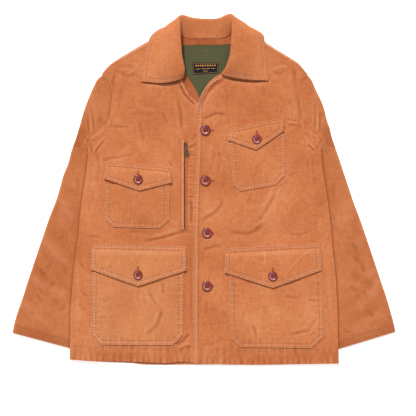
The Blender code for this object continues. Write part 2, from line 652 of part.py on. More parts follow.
def flap_under(x, y, spec):
    """Underside of a flap: sewn to the front at its top edge, then over the pocket, its free edge lifted."""
    (x0, y0), (x1, y1) = spec["flap_top"]
    length = math.hypot(x1 - x0, y1 - y0)
    hang = np.abs((x - x0) * (y1 - y0) - (y - y0) * (x1 - x0)) / length
    step = (CANVAS + SEAM + 0.35) * smooth((hang - 3) / 20)
    return front_over(x, y, spec["front"]) + SEAM + 0.15 + step + 1.1 * (hang / 90) ** 2


def flap(name, spec):
    plan, _, _ = pocket_grid(spec["flap_top"], spec["flap_bottom"], (0, 2), 8, 6)
    under = flap_under(plan[..., 0], plan[..., 1], spec)
    return slab("flap_" + name, plan, under, under + DOUBLE, "canvas")


# ---------------------------------------------------------------- buttons and zip


def turned(name, profile, segments, material, at):
    """A round piece turned about Z from (radius, height) pairs, which start and end on the axis."""
    rings = np.array(profile[1:-1], float)
    angle = np.linspace(0, 2 * math.pi, segments, endpoint=False)
    circle = np.stack([np.cos(angle), np.sin(angle)], axis=-1)
    points = np.concatenate(
        [
            np.dstack([rings[:, :1, None] * circle[None], np.broadcast_to(rings[:, 1:, None], (len(rings), segments, 1))]).reshape(-1, 3),
            [[0, 0, profile[0][1]], [0, 0, profile[-1][1]]],
        ]
    )
    number = np.arange(len(rings) * segments).reshape(len(rings), segments)
    number = np.hstack([number, number[:, :1]])
    faces = quads(number).tolist()
    for ring, tip in ((number[0], len(points) - 2), (number[-1], len(points) - 1)):
        faces += [[a, b, tip] for a, b in zip(ring[:-1].tolist(), ring[1:].tolist())]
    return piece(name, points, faces, material, at=at)


def button(name, x, y, radius, base):
    """A moulded button: a flat back, a domed rim and a sunk centre."""
    tall = BUTTON_HEIGHT
    profile = [
        (0, 0), (0.86 * radius, 0), (radius, 0.4 * tall), (0.93 * radius, 0.85 * tall),
        (0.8 * radius, tall), (0.66 * radius, 0.86 * tall), (0.5 * radius, 0.6 * tall), (0, 0.55 * tall),
    ]
    return turned(name, profile, 18, "button", (x, y, base + SEAM + 0.2))


def buttons():
    for number, (x, y) in enumerate(PLACKET_BUTTONS, start=1):
        base = top_near(lambda a, b: front_over(a, b, "left"), x, y, BUTTON_PLACKET_RADIUS)
        button(f"button_placket_{number}", x, y, BUTTON_PLACKET_RADIUS, base)
    for name, spec in POCKETS.items():
        x, y = spec["button"]
        base = top_near(lambda a, b, s=spec: flap_under(a, b, s) + DOUBLE, x, y, BUTTON_FLAP_RADIUS)
        button("button_" + name, x, y, BUTTON_FLAP_RADIUS, base)


def zip_band(name, span, wall):
    """A straight band of the zip, lying on the wearer's right front."""
    ends = np.linspace(0, 1, 15)
    left = along([(span[0], ZIP_TOP), (span[0], ZIP_BOTTOM)], ends)
    right = along([(span[1], ZIP_TOP), (span[1], ZIP_BOTTOM)], ends)
    thirds = np.linspace(0, 1, 3)
    plan = coons(along([left[0], right[0]], thirds), along([left[-1], right[-1]], thirds), left, right)
    under = front_over(plan[..., 0], plan[..., 1], "right") + SEAM
    return slab(name, plan, under, under + wall, "canvas")


def block(x0, x1, y0, y1, z0, z1):
    corners = [(x, y, z) for z in (z0, z1) for x, y in ((x0, y0), (x1, y0), (x1, y1), (x0, y1))]
    faces = [(3, 2, 1, 0), (4, 5, 6, 7), (0, 1, 5, 4), (1, 2, 6, 5), (2, 3, 7, 6), (3, 0, 4, 7)]
    return corners, faces


def prism(name, outline, low, high, material, at, hole=None):
    """An outline raised between two levels, with a hole of as many corners as the outline has."""
    count = len(outline)
    rings = [outline] if hole is None else [outline, hole]
    points = [(x, y, z) for ring in rings for z in (low, high) for x, y in ring]
    loop = np.append(np.arange(count), 0)
    faces = [strip(loop, loop + count)]
    if hole is not None:
        faces += [strip(loop + 2 * count, loop + 3 * count)]
        faces += [strip(loop, loop + 2 * count), strip(loop + count, loop + 3 * count)]
        faces = np.vstack(faces).tolist()
    else:
        faces = faces[0].tolist() + [list(range(count)), list(range(count, 2 * count))]
    return piece(name, points, faces, material, at=at)


def slider(base):
    """The slider's wedge-shaped body with its bridge, through which the pull tab's eye passes."""
    wide, long, tall = SLIDER_SIZE
    shoulder = [
        (-0.5 * wide, 0.18 * long), (-0.36 * wide, 0.5 * long), (0.36 * wide, 0.5 * long), (0.5 * wide, 0.18 * long),
        (0.4 * wide, -0.5 * long), (-0.4 * wide, -0.5 * long),
    ]
    x, y = SLIDER_AT
    made = prism("zip_slider", shoulder, 0, tall, "bronze", (x, y, base))
    half, reach, rise = BRIDGE_WIDTH / 2, BRIDGE_REACH / 2, BRIDGE_RISE
    arch = [
        (-reach, -0.4), (-reach, rise - 1), (-reach + 1, rise), (reach - 1, rise), (reach, rise - 1), (reach, -0.4),
        (reach - BRIDGE_WALL, -0.4), (reach - BRIDGE_WALL, rise - BRIDGE_WALL),
        (-reach + BRIDGE_WALL, rise - BRIDGE_WALL), (-reach + BRIDGE_WALL, -0.4),
    ]
    count = len(arch)
    points = [(side * half, a, tall + b) for side in (-1, 1) for a, b in arch]
    loop = np.append(np.arange(count), 0)
    faces = strip(loop, loop + count).tolist()
    faces += [[start + k for k in quad] for start in (0, count) for quad in ((0, 1, 8, 9), (1, 2, 3, 4, 7, 8), (4, 5, 6, 7))]
    bridge = piece("bridge_tool", points, faces, "bronze", at=(x, y, base))
    bridge.hide_render = True
    bridge.display_type = "WIRE"
    join = made.modifiers.new("bridge", "BOOLEAN")
    join.operation = "UNION"
    join.object = bridge
    return base + tall + 0.5 * (rise - BRIDGE_WALL)


def pull_tab(height):
    """The pull tab, its origin on the crossbar that turns under the slider's bridge. It hangs towards
    the hem, tilted a little towards the placket."""
    half = PULL_THICKNESS / 2
    length, wide = PULL_LENGTH, PULL_WIDTH
    outline = [
        (-3.2, half), (3.2, half), (3.4, -6.8), (0.5 * wide, -0.78 * length),
        (0.36 * wide, -length), (-0.36 * wide, -length), (-0.5 * wide, -0.78 * length), (-3.4, -6.8),
    ]
    eye = [
        (-2.1, -half), (2.1, -half), (2.1, -3), (2.1, -5.5), (0.6, -5.8), (-0.6, -5.8), (-2.1, -5.5), (-2.1, -3),
    ]
    at = (*SLIDER_AT, height)
    made = prism("pull_tab", outline, -half, half, "bronze", at, hole=eye)
    made.rotation_euler = (PULL_DROOP, 0, PULL_TILT)
    return made


# ---------------------------------------------------------------- the whole jacket


def main():
    for old in list(bpy.data.objects):
        bpy.data.objects.remove(old, do_unlink=True)
    back()
    front("right", SHOULDER_RIGHT, ARMHOLE_RIGHT, SIDE_RIGHT, HEM_RIGHT, NECK_RIGHT, EDGE_RIGHT)
    front("left", SHOULDER_LEFT, ARMHOLE_LEFT, SIDE_LEFT, HEM_LEFT, NECK_LEFT, EDGE_LEFT)
    sleeve("right", CAP_RIGHT, ARMHOLE_RIGHT, SLEEVE_RIGHT)
    sleeve("left", CAP_LEFT, ARMHOLE_LEFT, SLEEVE_LEFT)
    collar()
    on_collar("hanger_loop", HANGER_SPAN, HANGER_REACH, THIN, "canvas")
    neck_pieces()
    for name, spec in POCKETS.items():
        patch_pocket(name, spec)
        flap(name, spec)
    buttons()
    zip_band("zip_welt", WELT_SPAN, CANVAS)
    zip_band("zip_tape", TAPE_SPAN, THIN)
    on_tape = top_near(lambda a, b: front_over(a, b, "right"), *SLIDER_AT, 5) + SEAM + THIN + SEAM
    pull_tab(slider(on_tape))


main()
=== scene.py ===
# %% [markdown]
# # A canvas field jacket, laid flat
#
# The jacket lies on its back on a light table and we look straight down on it. Its solids were made first and
# are loaded as a fixed frame. Here each solid gets its cloth: a fine surface with creases, turned edges,
# rows of stitching, worn colour and weave. Everything is worked out from the garment's own sizes.

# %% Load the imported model
import json
import math

import bmesh
import bpy
import mathutils
import numpy as np
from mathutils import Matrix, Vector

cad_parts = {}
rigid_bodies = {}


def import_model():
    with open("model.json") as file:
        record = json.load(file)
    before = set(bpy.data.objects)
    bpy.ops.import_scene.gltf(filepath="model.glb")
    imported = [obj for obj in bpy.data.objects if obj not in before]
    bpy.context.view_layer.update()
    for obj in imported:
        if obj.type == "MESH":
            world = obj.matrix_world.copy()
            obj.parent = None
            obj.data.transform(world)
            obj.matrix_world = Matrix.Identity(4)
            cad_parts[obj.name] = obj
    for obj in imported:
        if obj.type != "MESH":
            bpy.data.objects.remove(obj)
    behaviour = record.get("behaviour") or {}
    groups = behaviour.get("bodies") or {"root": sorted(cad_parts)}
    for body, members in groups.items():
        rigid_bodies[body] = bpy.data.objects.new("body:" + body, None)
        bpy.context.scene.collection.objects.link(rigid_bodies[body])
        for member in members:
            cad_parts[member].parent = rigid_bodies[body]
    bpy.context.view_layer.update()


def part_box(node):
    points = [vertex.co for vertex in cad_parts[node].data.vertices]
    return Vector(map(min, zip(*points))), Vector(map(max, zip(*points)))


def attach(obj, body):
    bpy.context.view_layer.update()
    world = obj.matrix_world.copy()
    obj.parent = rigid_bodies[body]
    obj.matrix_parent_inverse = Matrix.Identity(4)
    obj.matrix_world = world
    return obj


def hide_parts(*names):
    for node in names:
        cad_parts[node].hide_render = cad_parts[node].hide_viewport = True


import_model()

# %% [markdown]
# ## The cut of the jacket
#
# A tailor starts from a pattern, and so do we. Each seam is a short list of points in millimetres, with
# +X towards the wearer's left side and +Y from the hem to the collar. The right side's seams come first.

# %% Thicknesses of the cloth, in millimetres
MM = 0.001
CANVAS = 1.5  # one layer, with the air in its weave
THIN = 1.0  # lining, facing, tape and label
DOUBLE = 2.2  # two layers, as in a flap or the collar
SEAM = 0.3  # between pieces that lie on each other
SLEEVE_LOFT = 4.0
ARMPIT_SPREAD = 60.0
BUTTON_PLACKET_RADIUS, BUTTON_FLAP_RADIUS, BUTTON_HEIGHT = 11.7, 10.8, 3.6
PULL_THICKNESS, PULL_TILT, PULL_DROOP = 1.2, math.radians(11), math.radians(3)
TWO_ROWS = 2.2, 9.0  # from a finished edge to its two rows of stitches
HEM_DEEP, CUFF_ROW = 30.0, 17.0  # from the hem or the cuff to its one row
print("a flap is", DOUBLE, "mm thick")

# %% Outlines of the body, columns x and y
SHOULDER_RIGHT = [(-228.5, 256.5), (-219.5, 268.5), (-207, 280), (-131.5, 320.5), (-61, 358)]
TURN_RIGHT = [(-229.5, 260.5), (-218, 274), (-202.5, 287.5), (-157.5, 315), (-135, 328), (-61, 368)]
ARMHOLE_RIGHT = [
    (-228.5, 256.5), (-216, 247.5), (-209, 237.5), (-205, 208), (-207, 185.5),
    (-210, 158.5), (-229.5, 136), (-246.5, 121), (-261, 108.5),
]
SIDE_RIGHT = [
    (-261, 108.5), (-262, 71), (-265, 39.5), (-271, 3.5), (-278.5, -53), (-282.5, -102.5),
    (-288, -136), (-294.5, -197), (-298.5, -248.5), (-301, -282.5), (-301, -327.5), (-302, -382.5),
]
HEM_RIGHT = [
    (-302, -382.5), (-252, -386), (-160, -387.5), (-85.5, -391), (-48, -387.5), (-23, -389.5),
    (21.5, -389.5),
]
NECK_RIGHT = [
    (-61, 358), (-64, 325), (-61, 291.5), (-53, 264.5), (-49, 245), (-45, 233), (-38, 219.5),
    (-30.5, 209), (-22.5, 201.5), (-13.5, 194.5), (4.5, 187), (21.5, 183.5),
]
EDGE_RIGHT = [(21.5, 183.5), (21.5, -100), (21.5, -389.5)]

# The same seams of the wearer's left side, whose front lies on top.
SHOULDER_LEFT = [(232, 257), (221.5, 269), (210, 279.5), (153, 314), (67.5, 363.5)]
TURN_LEFT = [(232.5, 260), (221, 274), (207.5, 287.5), (162.5, 315), (142.5, 328), (67.5, 372.5)]
ARMHOLE_LEFT = [
    (232, 257), (219.5, 248.5), (213, 239.5), (209, 208), (210, 185.5),
    (214, 161), (233.5, 137), (248.5, 122.5), (263, 108.5),
]
SIDE_LEFT = [
    (263, 108.5), (265, 66.5), (268.5, 40.5), (274.5, 1), (280.5, -39.5), (287, -102.5),
    (290, -136), (295, -181), (298, -226), (301, -282.5), (302, -350), (303, -391.5),
]
HEM_LEFT = [(303, -391.5), (238.5, -392.5), (121.5, -394.5), (64, -394), (-22.5, -392)]
NECK_LEFT = [
    (67.5, 363.5), (72, 325), (67.5, 291.5), (52, 266.5), (39, 260), (25, 253),
    (13.5, 243), (3.5, 230), (-6.5, 212), (-12.5, 196),
]
EDGE_LEFT = [
    (-12.5, 196), (-15, 127), (-16.5, 73), (-20.5, -19), (-22.5, -93.5), (-22, -156.5),
    (-23, -248.5), (-22.5, -392),
]

NECK_BACK = [
    (-61, 358), (-52, 343), (-31.5, 337.5), (4.5, 338.5), (36, 341), (56, 345.5), (67.5, 363.5),
]
HEM_BACK = [
    (-302, -382.5), (-252, -386.5), (-160, -390.5), (-139.5, -394), (-85.5, -394.5),
    (-20, -394), (63, -393), (238.5, -392), (303, -391.5),
]
print("width at the hem:", round(SIDE_LEFT[-1][0] - SIDE_RIGHT[-1][0]), "mm")

# %% Sleeve sections
SLEEVE_RIGHT = [
    (-290.5, 109, -261, 108.5, 4.4), (-295.5, 95.5, -263.5, 95.5, 2.2), (-299, 84.5, -264.5, 84.5, 0),
    (-302.5, 71, -245, 68.5, 0), (-307, 55, -218, 48.5, 0), (-317, 30.5, -193.5, 19, 0),
    (-325, 1, -187, -17, 0), (-335, -30.5, -189, -55, 0), (-347.5, -62, -198, -95.5, 0),
    (-360, -98, -209, -134, 0), (-372.5, -135, -223, -172, 0), (-385, -172, -235, -210.5, 0),
    (-397, -208, -248.5, -248.5, 0), (-408.5, -244, -263, -287, 0), (-421, -280, -274.5, -323, 0),
    (-427, -302, -281, -343, 0), (-431, -323, -288, -361, 0),
]
SLEEVE_LEFT = [
    (290.5, 109, 263, 108.5, 4.4), (295.5, 95.5, 266, 95.5, 2.2), (299, 84.5, 267, 84.5, 0),
    (304, 71, 247.5, 68.5, 0), (309, 55, 220.5, 48.5, 0), (317, 30.5, 196, 19, 0),
    (327, 1, 189, -17, 0), (337.5, -30.5, 191, -55, 0), (349.5, -62, 200, -95.5, 0),
    (362, -98, 211.5, -134, 0), (374.5, -135, 225, -172, 0), (387, -172, 237.5, -210.5, 0),
    (399, -208, 251, -248.5, 0), (411, -244, 265.5, -287, 0), (421.5, -280, 278, -323, 0),
    (427, -300, 284, -343.5, 0), (431, -320.5, 290, -363.5, 0),
]
# Outer fold of each sleeve above the armpit, from the shoulder tip down.
CAP_RIGHT = [
    (-232.5, 254.5), (-241, 246.5), (-247.5, 233), (-254, 219.5), (-259.5, 206), (-265.5, 191),
    (-270, 178), (-274.5, 163), (-278, 149.5), (-282, 136), (-286, 122.5), (-290.5, 109),
]
CAP_LEFT = [
    (235.5, 255), (243, 245), (248, 233), (254, 219.5), (261, 206), (267.5, 191),
    (271.5, 178), (275, 163), (279, 149.5), (283.5, 136), (286.5, 122.5), (290.5, 109),
]
print("sections below each armpit:", len(SLEEVE_RIGHT))

# %% What the neck opening shows
LINING_TOP = [(-58.5, 324.5), (4.5, 324.5), (65, 326.5)]
LINING_RIGHT = [
    (-58.5, 324.5), (-56, 291.5), (-45, 268), (-40, 259), (-31, 245), (-22, 232), (-14, 217),
    (-8, 203.5), (-2, 192),
]
LINING_LEFT = [(65, 326.5), (64, 291.5), (54, 260), (34, 239.5), (18, 219.5), (4.5, 192)]
# The facing runs from the left shoulder round the back of the neck and down to the V.
FACING_TOP = [(64, 350), (54, 343.6), (32.5, 338.6), (4.5, 337.6), (-23.5, 337.6), (-45, 341.5), (-57, 346)]
FACING_BOTTOM = [(66, 327.4), (4.5, 325.2), (-58.5, 325.2)]
FACING_OUTER = [
    (-63, 324.5), (-62, 300), (-57, 273.5), (-54, 246.5), (-45, 224), (-32.5, 208), (-16, 192),
]
LABEL = [(-26.5, 285.5), (33, 285.5), (31.5, 262.5), (-24, 259)]
print("the label is", LABEL[1][0] - LABEL[0][0], "mm wide")

# %% Collar sections
# seam, the roll line, the belly of the fall and its free edge, each as x, y, z.
COLLAR = [
    ((-57, 256, 7.6), (-49, 250.5, 13), (-92, 240.5, 12), (-142, 244, 7.3)),
    ((-55, 270, 7.4), (-45.5, 271, 22), (-90, 270, 18.5), (-138.5, 270, 7.3)),
    ((-59, 296, 7.2), (-50.5, 300.5, 27), (-90, 300.5, 21), (-133.5, 300.5, 7.6)),
    ((-62.5, 323, 7), (-53, 329.5, 29), (-88, 328.5, 22), (-126, 329.5, 8.3)),
    ((-62, 345.5, 6.6), (-54, 359, 29), (-84.5, 352, 22), (-116.5, 347.5, 8.5)),
    ((-57.5, 352.5, 5.6), (-55, 379, 27), (-76.5, 373, 17), (-93.5, 362.5, 4)),
    ((-45, 344, 3.8), (-48.5, 389, 20), (-52, 385.5, 8), (-52, 369, 1.6)),
    ((-23.5, 339.2, 3), (-23.5, 382.5, 13), (-22.5, 377.5, 2.8), (-22.5, 357, 1.4)),
    ((4.5, 339.2, 3), (4.5, 381, 12), (4.5, 376, 2.6), (4.5, 354.5, 1.4)),
    ((32.5, 340.2, 3), (32.5, 382.5, 13), (31.5, 377.5, 2.8), (31.5, 357, 1.4)),
    ((54, 346, 3.8), (57.5, 391.5, 20), (61.5, 388.5, 8), (61.5, 372, 1.6)),
    ((66.5, 355.5, 5.6), (64, 381.5, 27), (87, 375.5, 17), (104, 364.5, 4)),
    ((71.5, 347.5, 6.6), (63.5, 359, 29), (95.5, 353, 22), (132.5, 348, 8.5)),
    ((72, 323, 7), (62.5, 329.5, 29), (98, 328.5, 22), (135.5, 329.5, 8.3)),
    ((66.5, 298, 7.2), (59.5, 300.5, 27), (98, 300.5, 21), (140, 300.5, 7.6)),
    ((57, 276, 7.6), (52, 276, 21), (94.5, 273.5, 18), (142.5, 271, 7.3)),
    ((50.5, 266, 7.9), (41, 259.5, 13), (88, 249.5, 12), (144.5, 245.5, 7.3)),
]
HANGER_SPAN = (-24.5, 28.0)  # across the back of the neck
print("the collar stands", max(point[2] for section in COLLAR for point in section), "mm high")

# %% Pockets, buttons and zip
POCKETS = {
    "chest_right": dict(
        front="right", top=[(-220.5, 12.5), (-79, 12.5)],
        bottom=[(-223, -67.5), (-204.5, -84), (-99.5, -87.5), (-79, -69)],
        flap_top=[(-219.5, 63.5), (-75.5, 49)], flap_bottom=[(-225, 25), (-146.5, -2), (-72.5, 16)],
        button=(-148.5, 22.5),
    ),
    "chest_left": dict(
        front="left", top=[(59, 105), (181, 127)],
        bottom=[(65, 9), (83, -3.5), (161.5, 10.5), (182, 31)],
        flap_top=[(57.5, 137), (180, 162)], flap_bottom=[(54.5, 111.5), (117.5, 90), (178.5, 131.5)],
        button=(119, 113),
    ),
    "lower_right": dict(
        front="right", top=[(-251, -160), (-46, -160)],
        bottom=[(-253, -326), (-232, -349), (-70, -350), (-47, -327)],
        flap_top=[(-252, -123), (-40.5, -128.5)],
        flap_bottom=[(-255, -179.5), (-149, -217), (-39.5, -181.5)],
        button=(-148.5, -192.5),
    ),
    "lower_left": dict(
        front="left", top=[(56, -166), (264.5, -160)],
        bottom=[(60, -335), (82.5, -354.5), (242, -356.5), (270, -330.5)],
        flap_top=[(49.5, -132.5), (260.5, -121.5)], flap_bottom=[(46, -186.5), (155, -221), (264.5, -181)],
        button=(155, -195.5),
    ),
}
PLACKET_BUTTONS = [(3, 133.5), (3, 20), (7, -98), (7, -217.5)]

# Zip of the hidden chest pocket, on the wearer's right front beside the placket.
ZIP_TOP, ZIP_BOTTOM = 111.5, -90.0
WELT_SPAN = (-52.5, -46.0)
TAPE_SPAN = (-44.5, -36.5)
SLIDER_AT = (-42.5, 101.0)
print("pockets:", ", ".join(POCKETS))

# %% [markdown]
# ## Lines and patches
#
# A seam drawn through a few points is made smooth with Catmull-Rom arcs. Two helpers measure a line: one
# gives points at shares of its length, and one moves it sideways, as a row of stitches runs beside an edge.
# A Coons patch then fills four seams with a grid, as cloth fills the space between them.

# %% Curves


def rounded(points, steps=8):
    """A smooth line: between two points, a cubic that leaves along the line through its neighbours."""
    points = np.asarray(points, float)
    before = np.vstack([2 * points[0] - points[1], points[:-2], points[-2]])[: len(points) - 1]
    after = np.vstack([points[2:], 2 * points[-1] - points[-2]])
    start, end = points[:-1], points[1:]
    t = (np.arange(steps) / steps)[:, None, None]
    arcs = 0.5 * (
        2 * start
        + (end - before) * t
        + (2 * before - 5 * start + 4 * end - after) * t**2
        + (3 * start - before - 3 * end + after) * t**3
    )
    return np.vstack([arcs.transpose(1, 0, 2).reshape(-1, points.shape[1]), points[-1:]])


def reach(points):
    """How far along the line each point is: the running sum of the steps."""
    steps = np.linalg.norm(np.diff(points, axis=0), axis=1)
    return np.concatenate([[0.0], np.cumsum(steps)])


def along(points, shares, curved=True):
    """Points at these shares of the line's length, read off between its points."""
    line = rounded(points) if curved and len(points) > 2 else np.asarray(points, float)
    at = reach(line)
    return np.column_stack([np.interp(shares, at / at[-1], line[:, k]) for k in range(line.shape[1])])


def paced(points, pace, curved=True):
    """The same line with a point about every pace."""
    line = rounded(points) if curved and len(points) > 2 else np.asarray(points, float)
    return along(line, np.linspace(0, 1, max(2, round(reach(line)[-1] / pace) + 1)), curved=False)


def parallel(points, gap):
    """The line moved to its left: each corner along the sum of its two sides' normals, so the gap holds."""
    line = np.asarray(points, float)
    step = np.diff(line[:, :2], axis=0)
    step = step / np.linalg.norm(step, axis=1, keepdims=True)
    normal = np.column_stack([-step[:, 1], step[:, 0]])
    first, second = np.vstack([normal[:1], normal]), np.vstack([normal, normal[-1:]])
    spread = 1 + np.sum(first * second, axis=1, keepdims=True)
    return line[:, :2] + gap * (first + second) / np.maximum(spread, 0.4)


def cornered(points, count):
    """Shares of the line's length that include each of its corners."""
    at = reach(np.asarray(points, float))
    shares = [0.0]
    for start, end in zip(at[:-1] / at[-1], at[1:] / at[-1]):
        shares.extend(np.linspace(start, end, max(1, round(count * (end - start))) + 1)[1:])
    return np.array(shares)


print("a rounded armhole has", len(rounded(ARMHOLE_LEFT)), "points")

# %% Patches


def coons(top, bottom, left, right):
    """Four sides filled: the ruled surface down, plus the one across, less the one through the corners."""
    u = (0.5 * (reach(top) / reach(top)[-1] + reach(bottom) / reach(bottom)[-1]))[None, :, None]
    v = (0.5 * (reach(left) / reach(left)[-1] + reach(right) / reach(right)[-1]))[:, None, None]
    down = (1 - v) * top[None] + v * bottom[None]
    across = (1 - u) * left[:, None] + u * right[:, None]
    corners = (1 - v) * ((1 - u) * top[0] + u * top[-1]) + v * ((1 - u) * bottom[0] + u * bottom[-1])
    return down + across - corners


def nearest(x, y, line):
    """Distance to a line, and how far along it the nearest point is."""
    line = np.asarray(line, float)
    at = reach(line)
    apart, run = np.full(np.shape(x), np.inf), np.zeros(np.shape(x))
    for (x0, y0), (x1, y1), start in zip(line[:-1], line[1:], at):
        dx, dy = x1 - x0, y1 - y0
        size = math.hypot(dx, dy)
        t = np.clip(((x - x0) * dx + (y - y0) * dy) / size**2, 0, 1)
        away = np.hypot(x - x0 - t * dx, y - y0 - t * dy)
        closer = away < apart
        apart, run = np.where(closer, away, apart), np.where(closer, start + t * size, run)
    return apart, run


def distance(x, y, line):
    """Distance to a line alone."""
    return nearest(x, y, line)[0]


def inside(x, y, region):
    """Whether a point lies in a region: its border is crossed an odd number of times towards +X."""
    crossed = np.zeros(np.shape(x), bool)
    for (x0, y0), (x1, y1) in zip(region, region[1:] + region[:1]):
        if y0 != y1:
            crossed ^= ((y0 > y) != (y1 > y)) & (x < x0 + (y - y0) * (x1 - x0) / (y1 - y0))
    return crossed


middle = np.array(0.0)
print("a triangle's middle is inside it:", bool(inside(middle, middle, [(-20, -9), (20, -9), (0, 9)])))

# %% [markdown]
# ## How cloth lies
#
# Cloth laid down comes to rest on what is under it, so its height is a sum. It rises softly over each
# hidden layer. Broad folds are bells across a line. Creases are the same but narrow, and drawn from
# how canvas really gathers: at the armholes, under the arms, round the pockets. Puckers are short waves
# beside a seam, because the thread shrank in the wash and the cloth did not.

# %% Rises, folds and puckers


def smooth(t):
    """0 to 1 with level ends: 3 t squared less 2 t cubed."""
    t = np.clip(t, 0.0, 1.0)
    return t * t * (3 - 2 * t)


def bell(away, width):
    """1 in the middle and down on both sides: e to the minus square of the distance over the width."""
    return np.exp(-((away / width) ** 2))


def over(x, y, region, clear, run):
    """1 on a region and close to it, falling smoothly to 0."""
    apart = np.where(inside(x, y, region), 0.0, distance(x, y, region + region[:1]))
    return smooth(1 - (apart - clear) / run)


def folds(x, y, table):
    """Soft folds: each rises as a bell across its line."""
    height = np.zeros(np.shape(x))
    for x0, y0, x1, y1, width, rise in table:
        height += rise * bell(distance(x, y, [(x0, y0), (x1, y1)]), width)
    return height


def creases(x, y, table):
    """Soft creases: a bell across each line as for folds, which fades over the line's last fifths."""
    height = np.zeros(np.shape(x))
    for line, width, rise in table:
        away, run = nearest(x, y, line)
        size = reach(np.asarray(line, float))[-1]
        fade = smooth((run + 0.06 * size) / (0.26 * size)) * smooth((1.06 * size - run) / (0.26 * size))
        height += rise * fade * bell(away, width)
    return height


def uneven(run, wave, start=0.0):
    """Waves that never quite repeat: three sines whose lengths share no common measure."""
    turn = 2 * math.pi * run / wave + start
    return 0.5 * np.sin(turn) + 0.32 * np.sin(0.618 * turn + 1.3) + 0.25 * np.sin(1.732 * turn + 4.1)


def puckers(x, y, line, wave, width, start=0.0):
    """Waves along a seam that die away from it."""
    away, run = nearest(x, y, line)
    return uneven(run, wave, start) * bell(away, width)


print("a bell at its width is", round(float(bell(1.0, 1.0)), 2), "high")

# %% [markdown]
# ## The folds and creases of this jacket
#
# A broad fold's row gives x and y of its two ends, its half width and its rise. A crease's row gives a line
# through a few points, then the same two numbers. A rise below 0 is a hollow. Last come many small ripples,
# which washed canvas has all over and which follow no seam, so chance may place them.

# %% Broad folds
BODY_FOLDS = [
    (-185, 275, -120, 190, 26, -0.9), (-120, 285, -75, 180, 24, 0.8), (-190, 150, -150, 95, 22, 0.8),
    (-60, 30, -62, -95, 16, 0.7), (-200, -100, -120, -112, 20, -0.7), (-275, -60, -268, -150, 16, 0.8),
    (-262, 60, -235, -10, 18, 0.9), (-235, -352, -110, -372, 14, 0.5),
    (185, 270, 130, 205, 26, -0.9), (120, 285, 90, 175, 24, 0.8), (196, 150, 190, 60, 20, 0.8),
    (262, 60, 240, -20, 18, 0.9), (60, -30, 210, -70, 24, 0.8), (278, -80, 282, -200, 18, 0.7),
    (120, -90, 240, -100, 20, -0.6),
]
SLEEVE_FOLDS = [
    (-249, 208, -252, 112, 9, 1.3), (-268, 165, -276, 85, 10, -0.9), (-300, 60, -318, -70, 20, 1.0),
    (-338, 5, -300, -60, 15, 0.9), (-368, -105, -318, -160, 14, 1.1), (-385, -165, -350, -215, 13, -0.9),
    (-375, -205, -320, -235, 14, 1.0), (-410, -255, -360, -300, 14, 0.9), (-400, -300, -330, -322, 13, 0.7),
    (249, 208, 253, 112, 9, 1.3), (268, 165, 277, 85, 10, -0.9), (303, 60, 322, -70, 20, 1.0),
    (338, -10, 312, -75, 15, 0.9), (352, -120, 378, -185, 14, 1.1), (340, -195, 372, -215, 13, -0.9),
    (392, -215, 350, -265, 14, 1.0), (400, -285, 345, -310, 13, 0.8),
]
print("broad folds:", len(BODY_FOLDS) + len(SLEEVE_FOLDS))

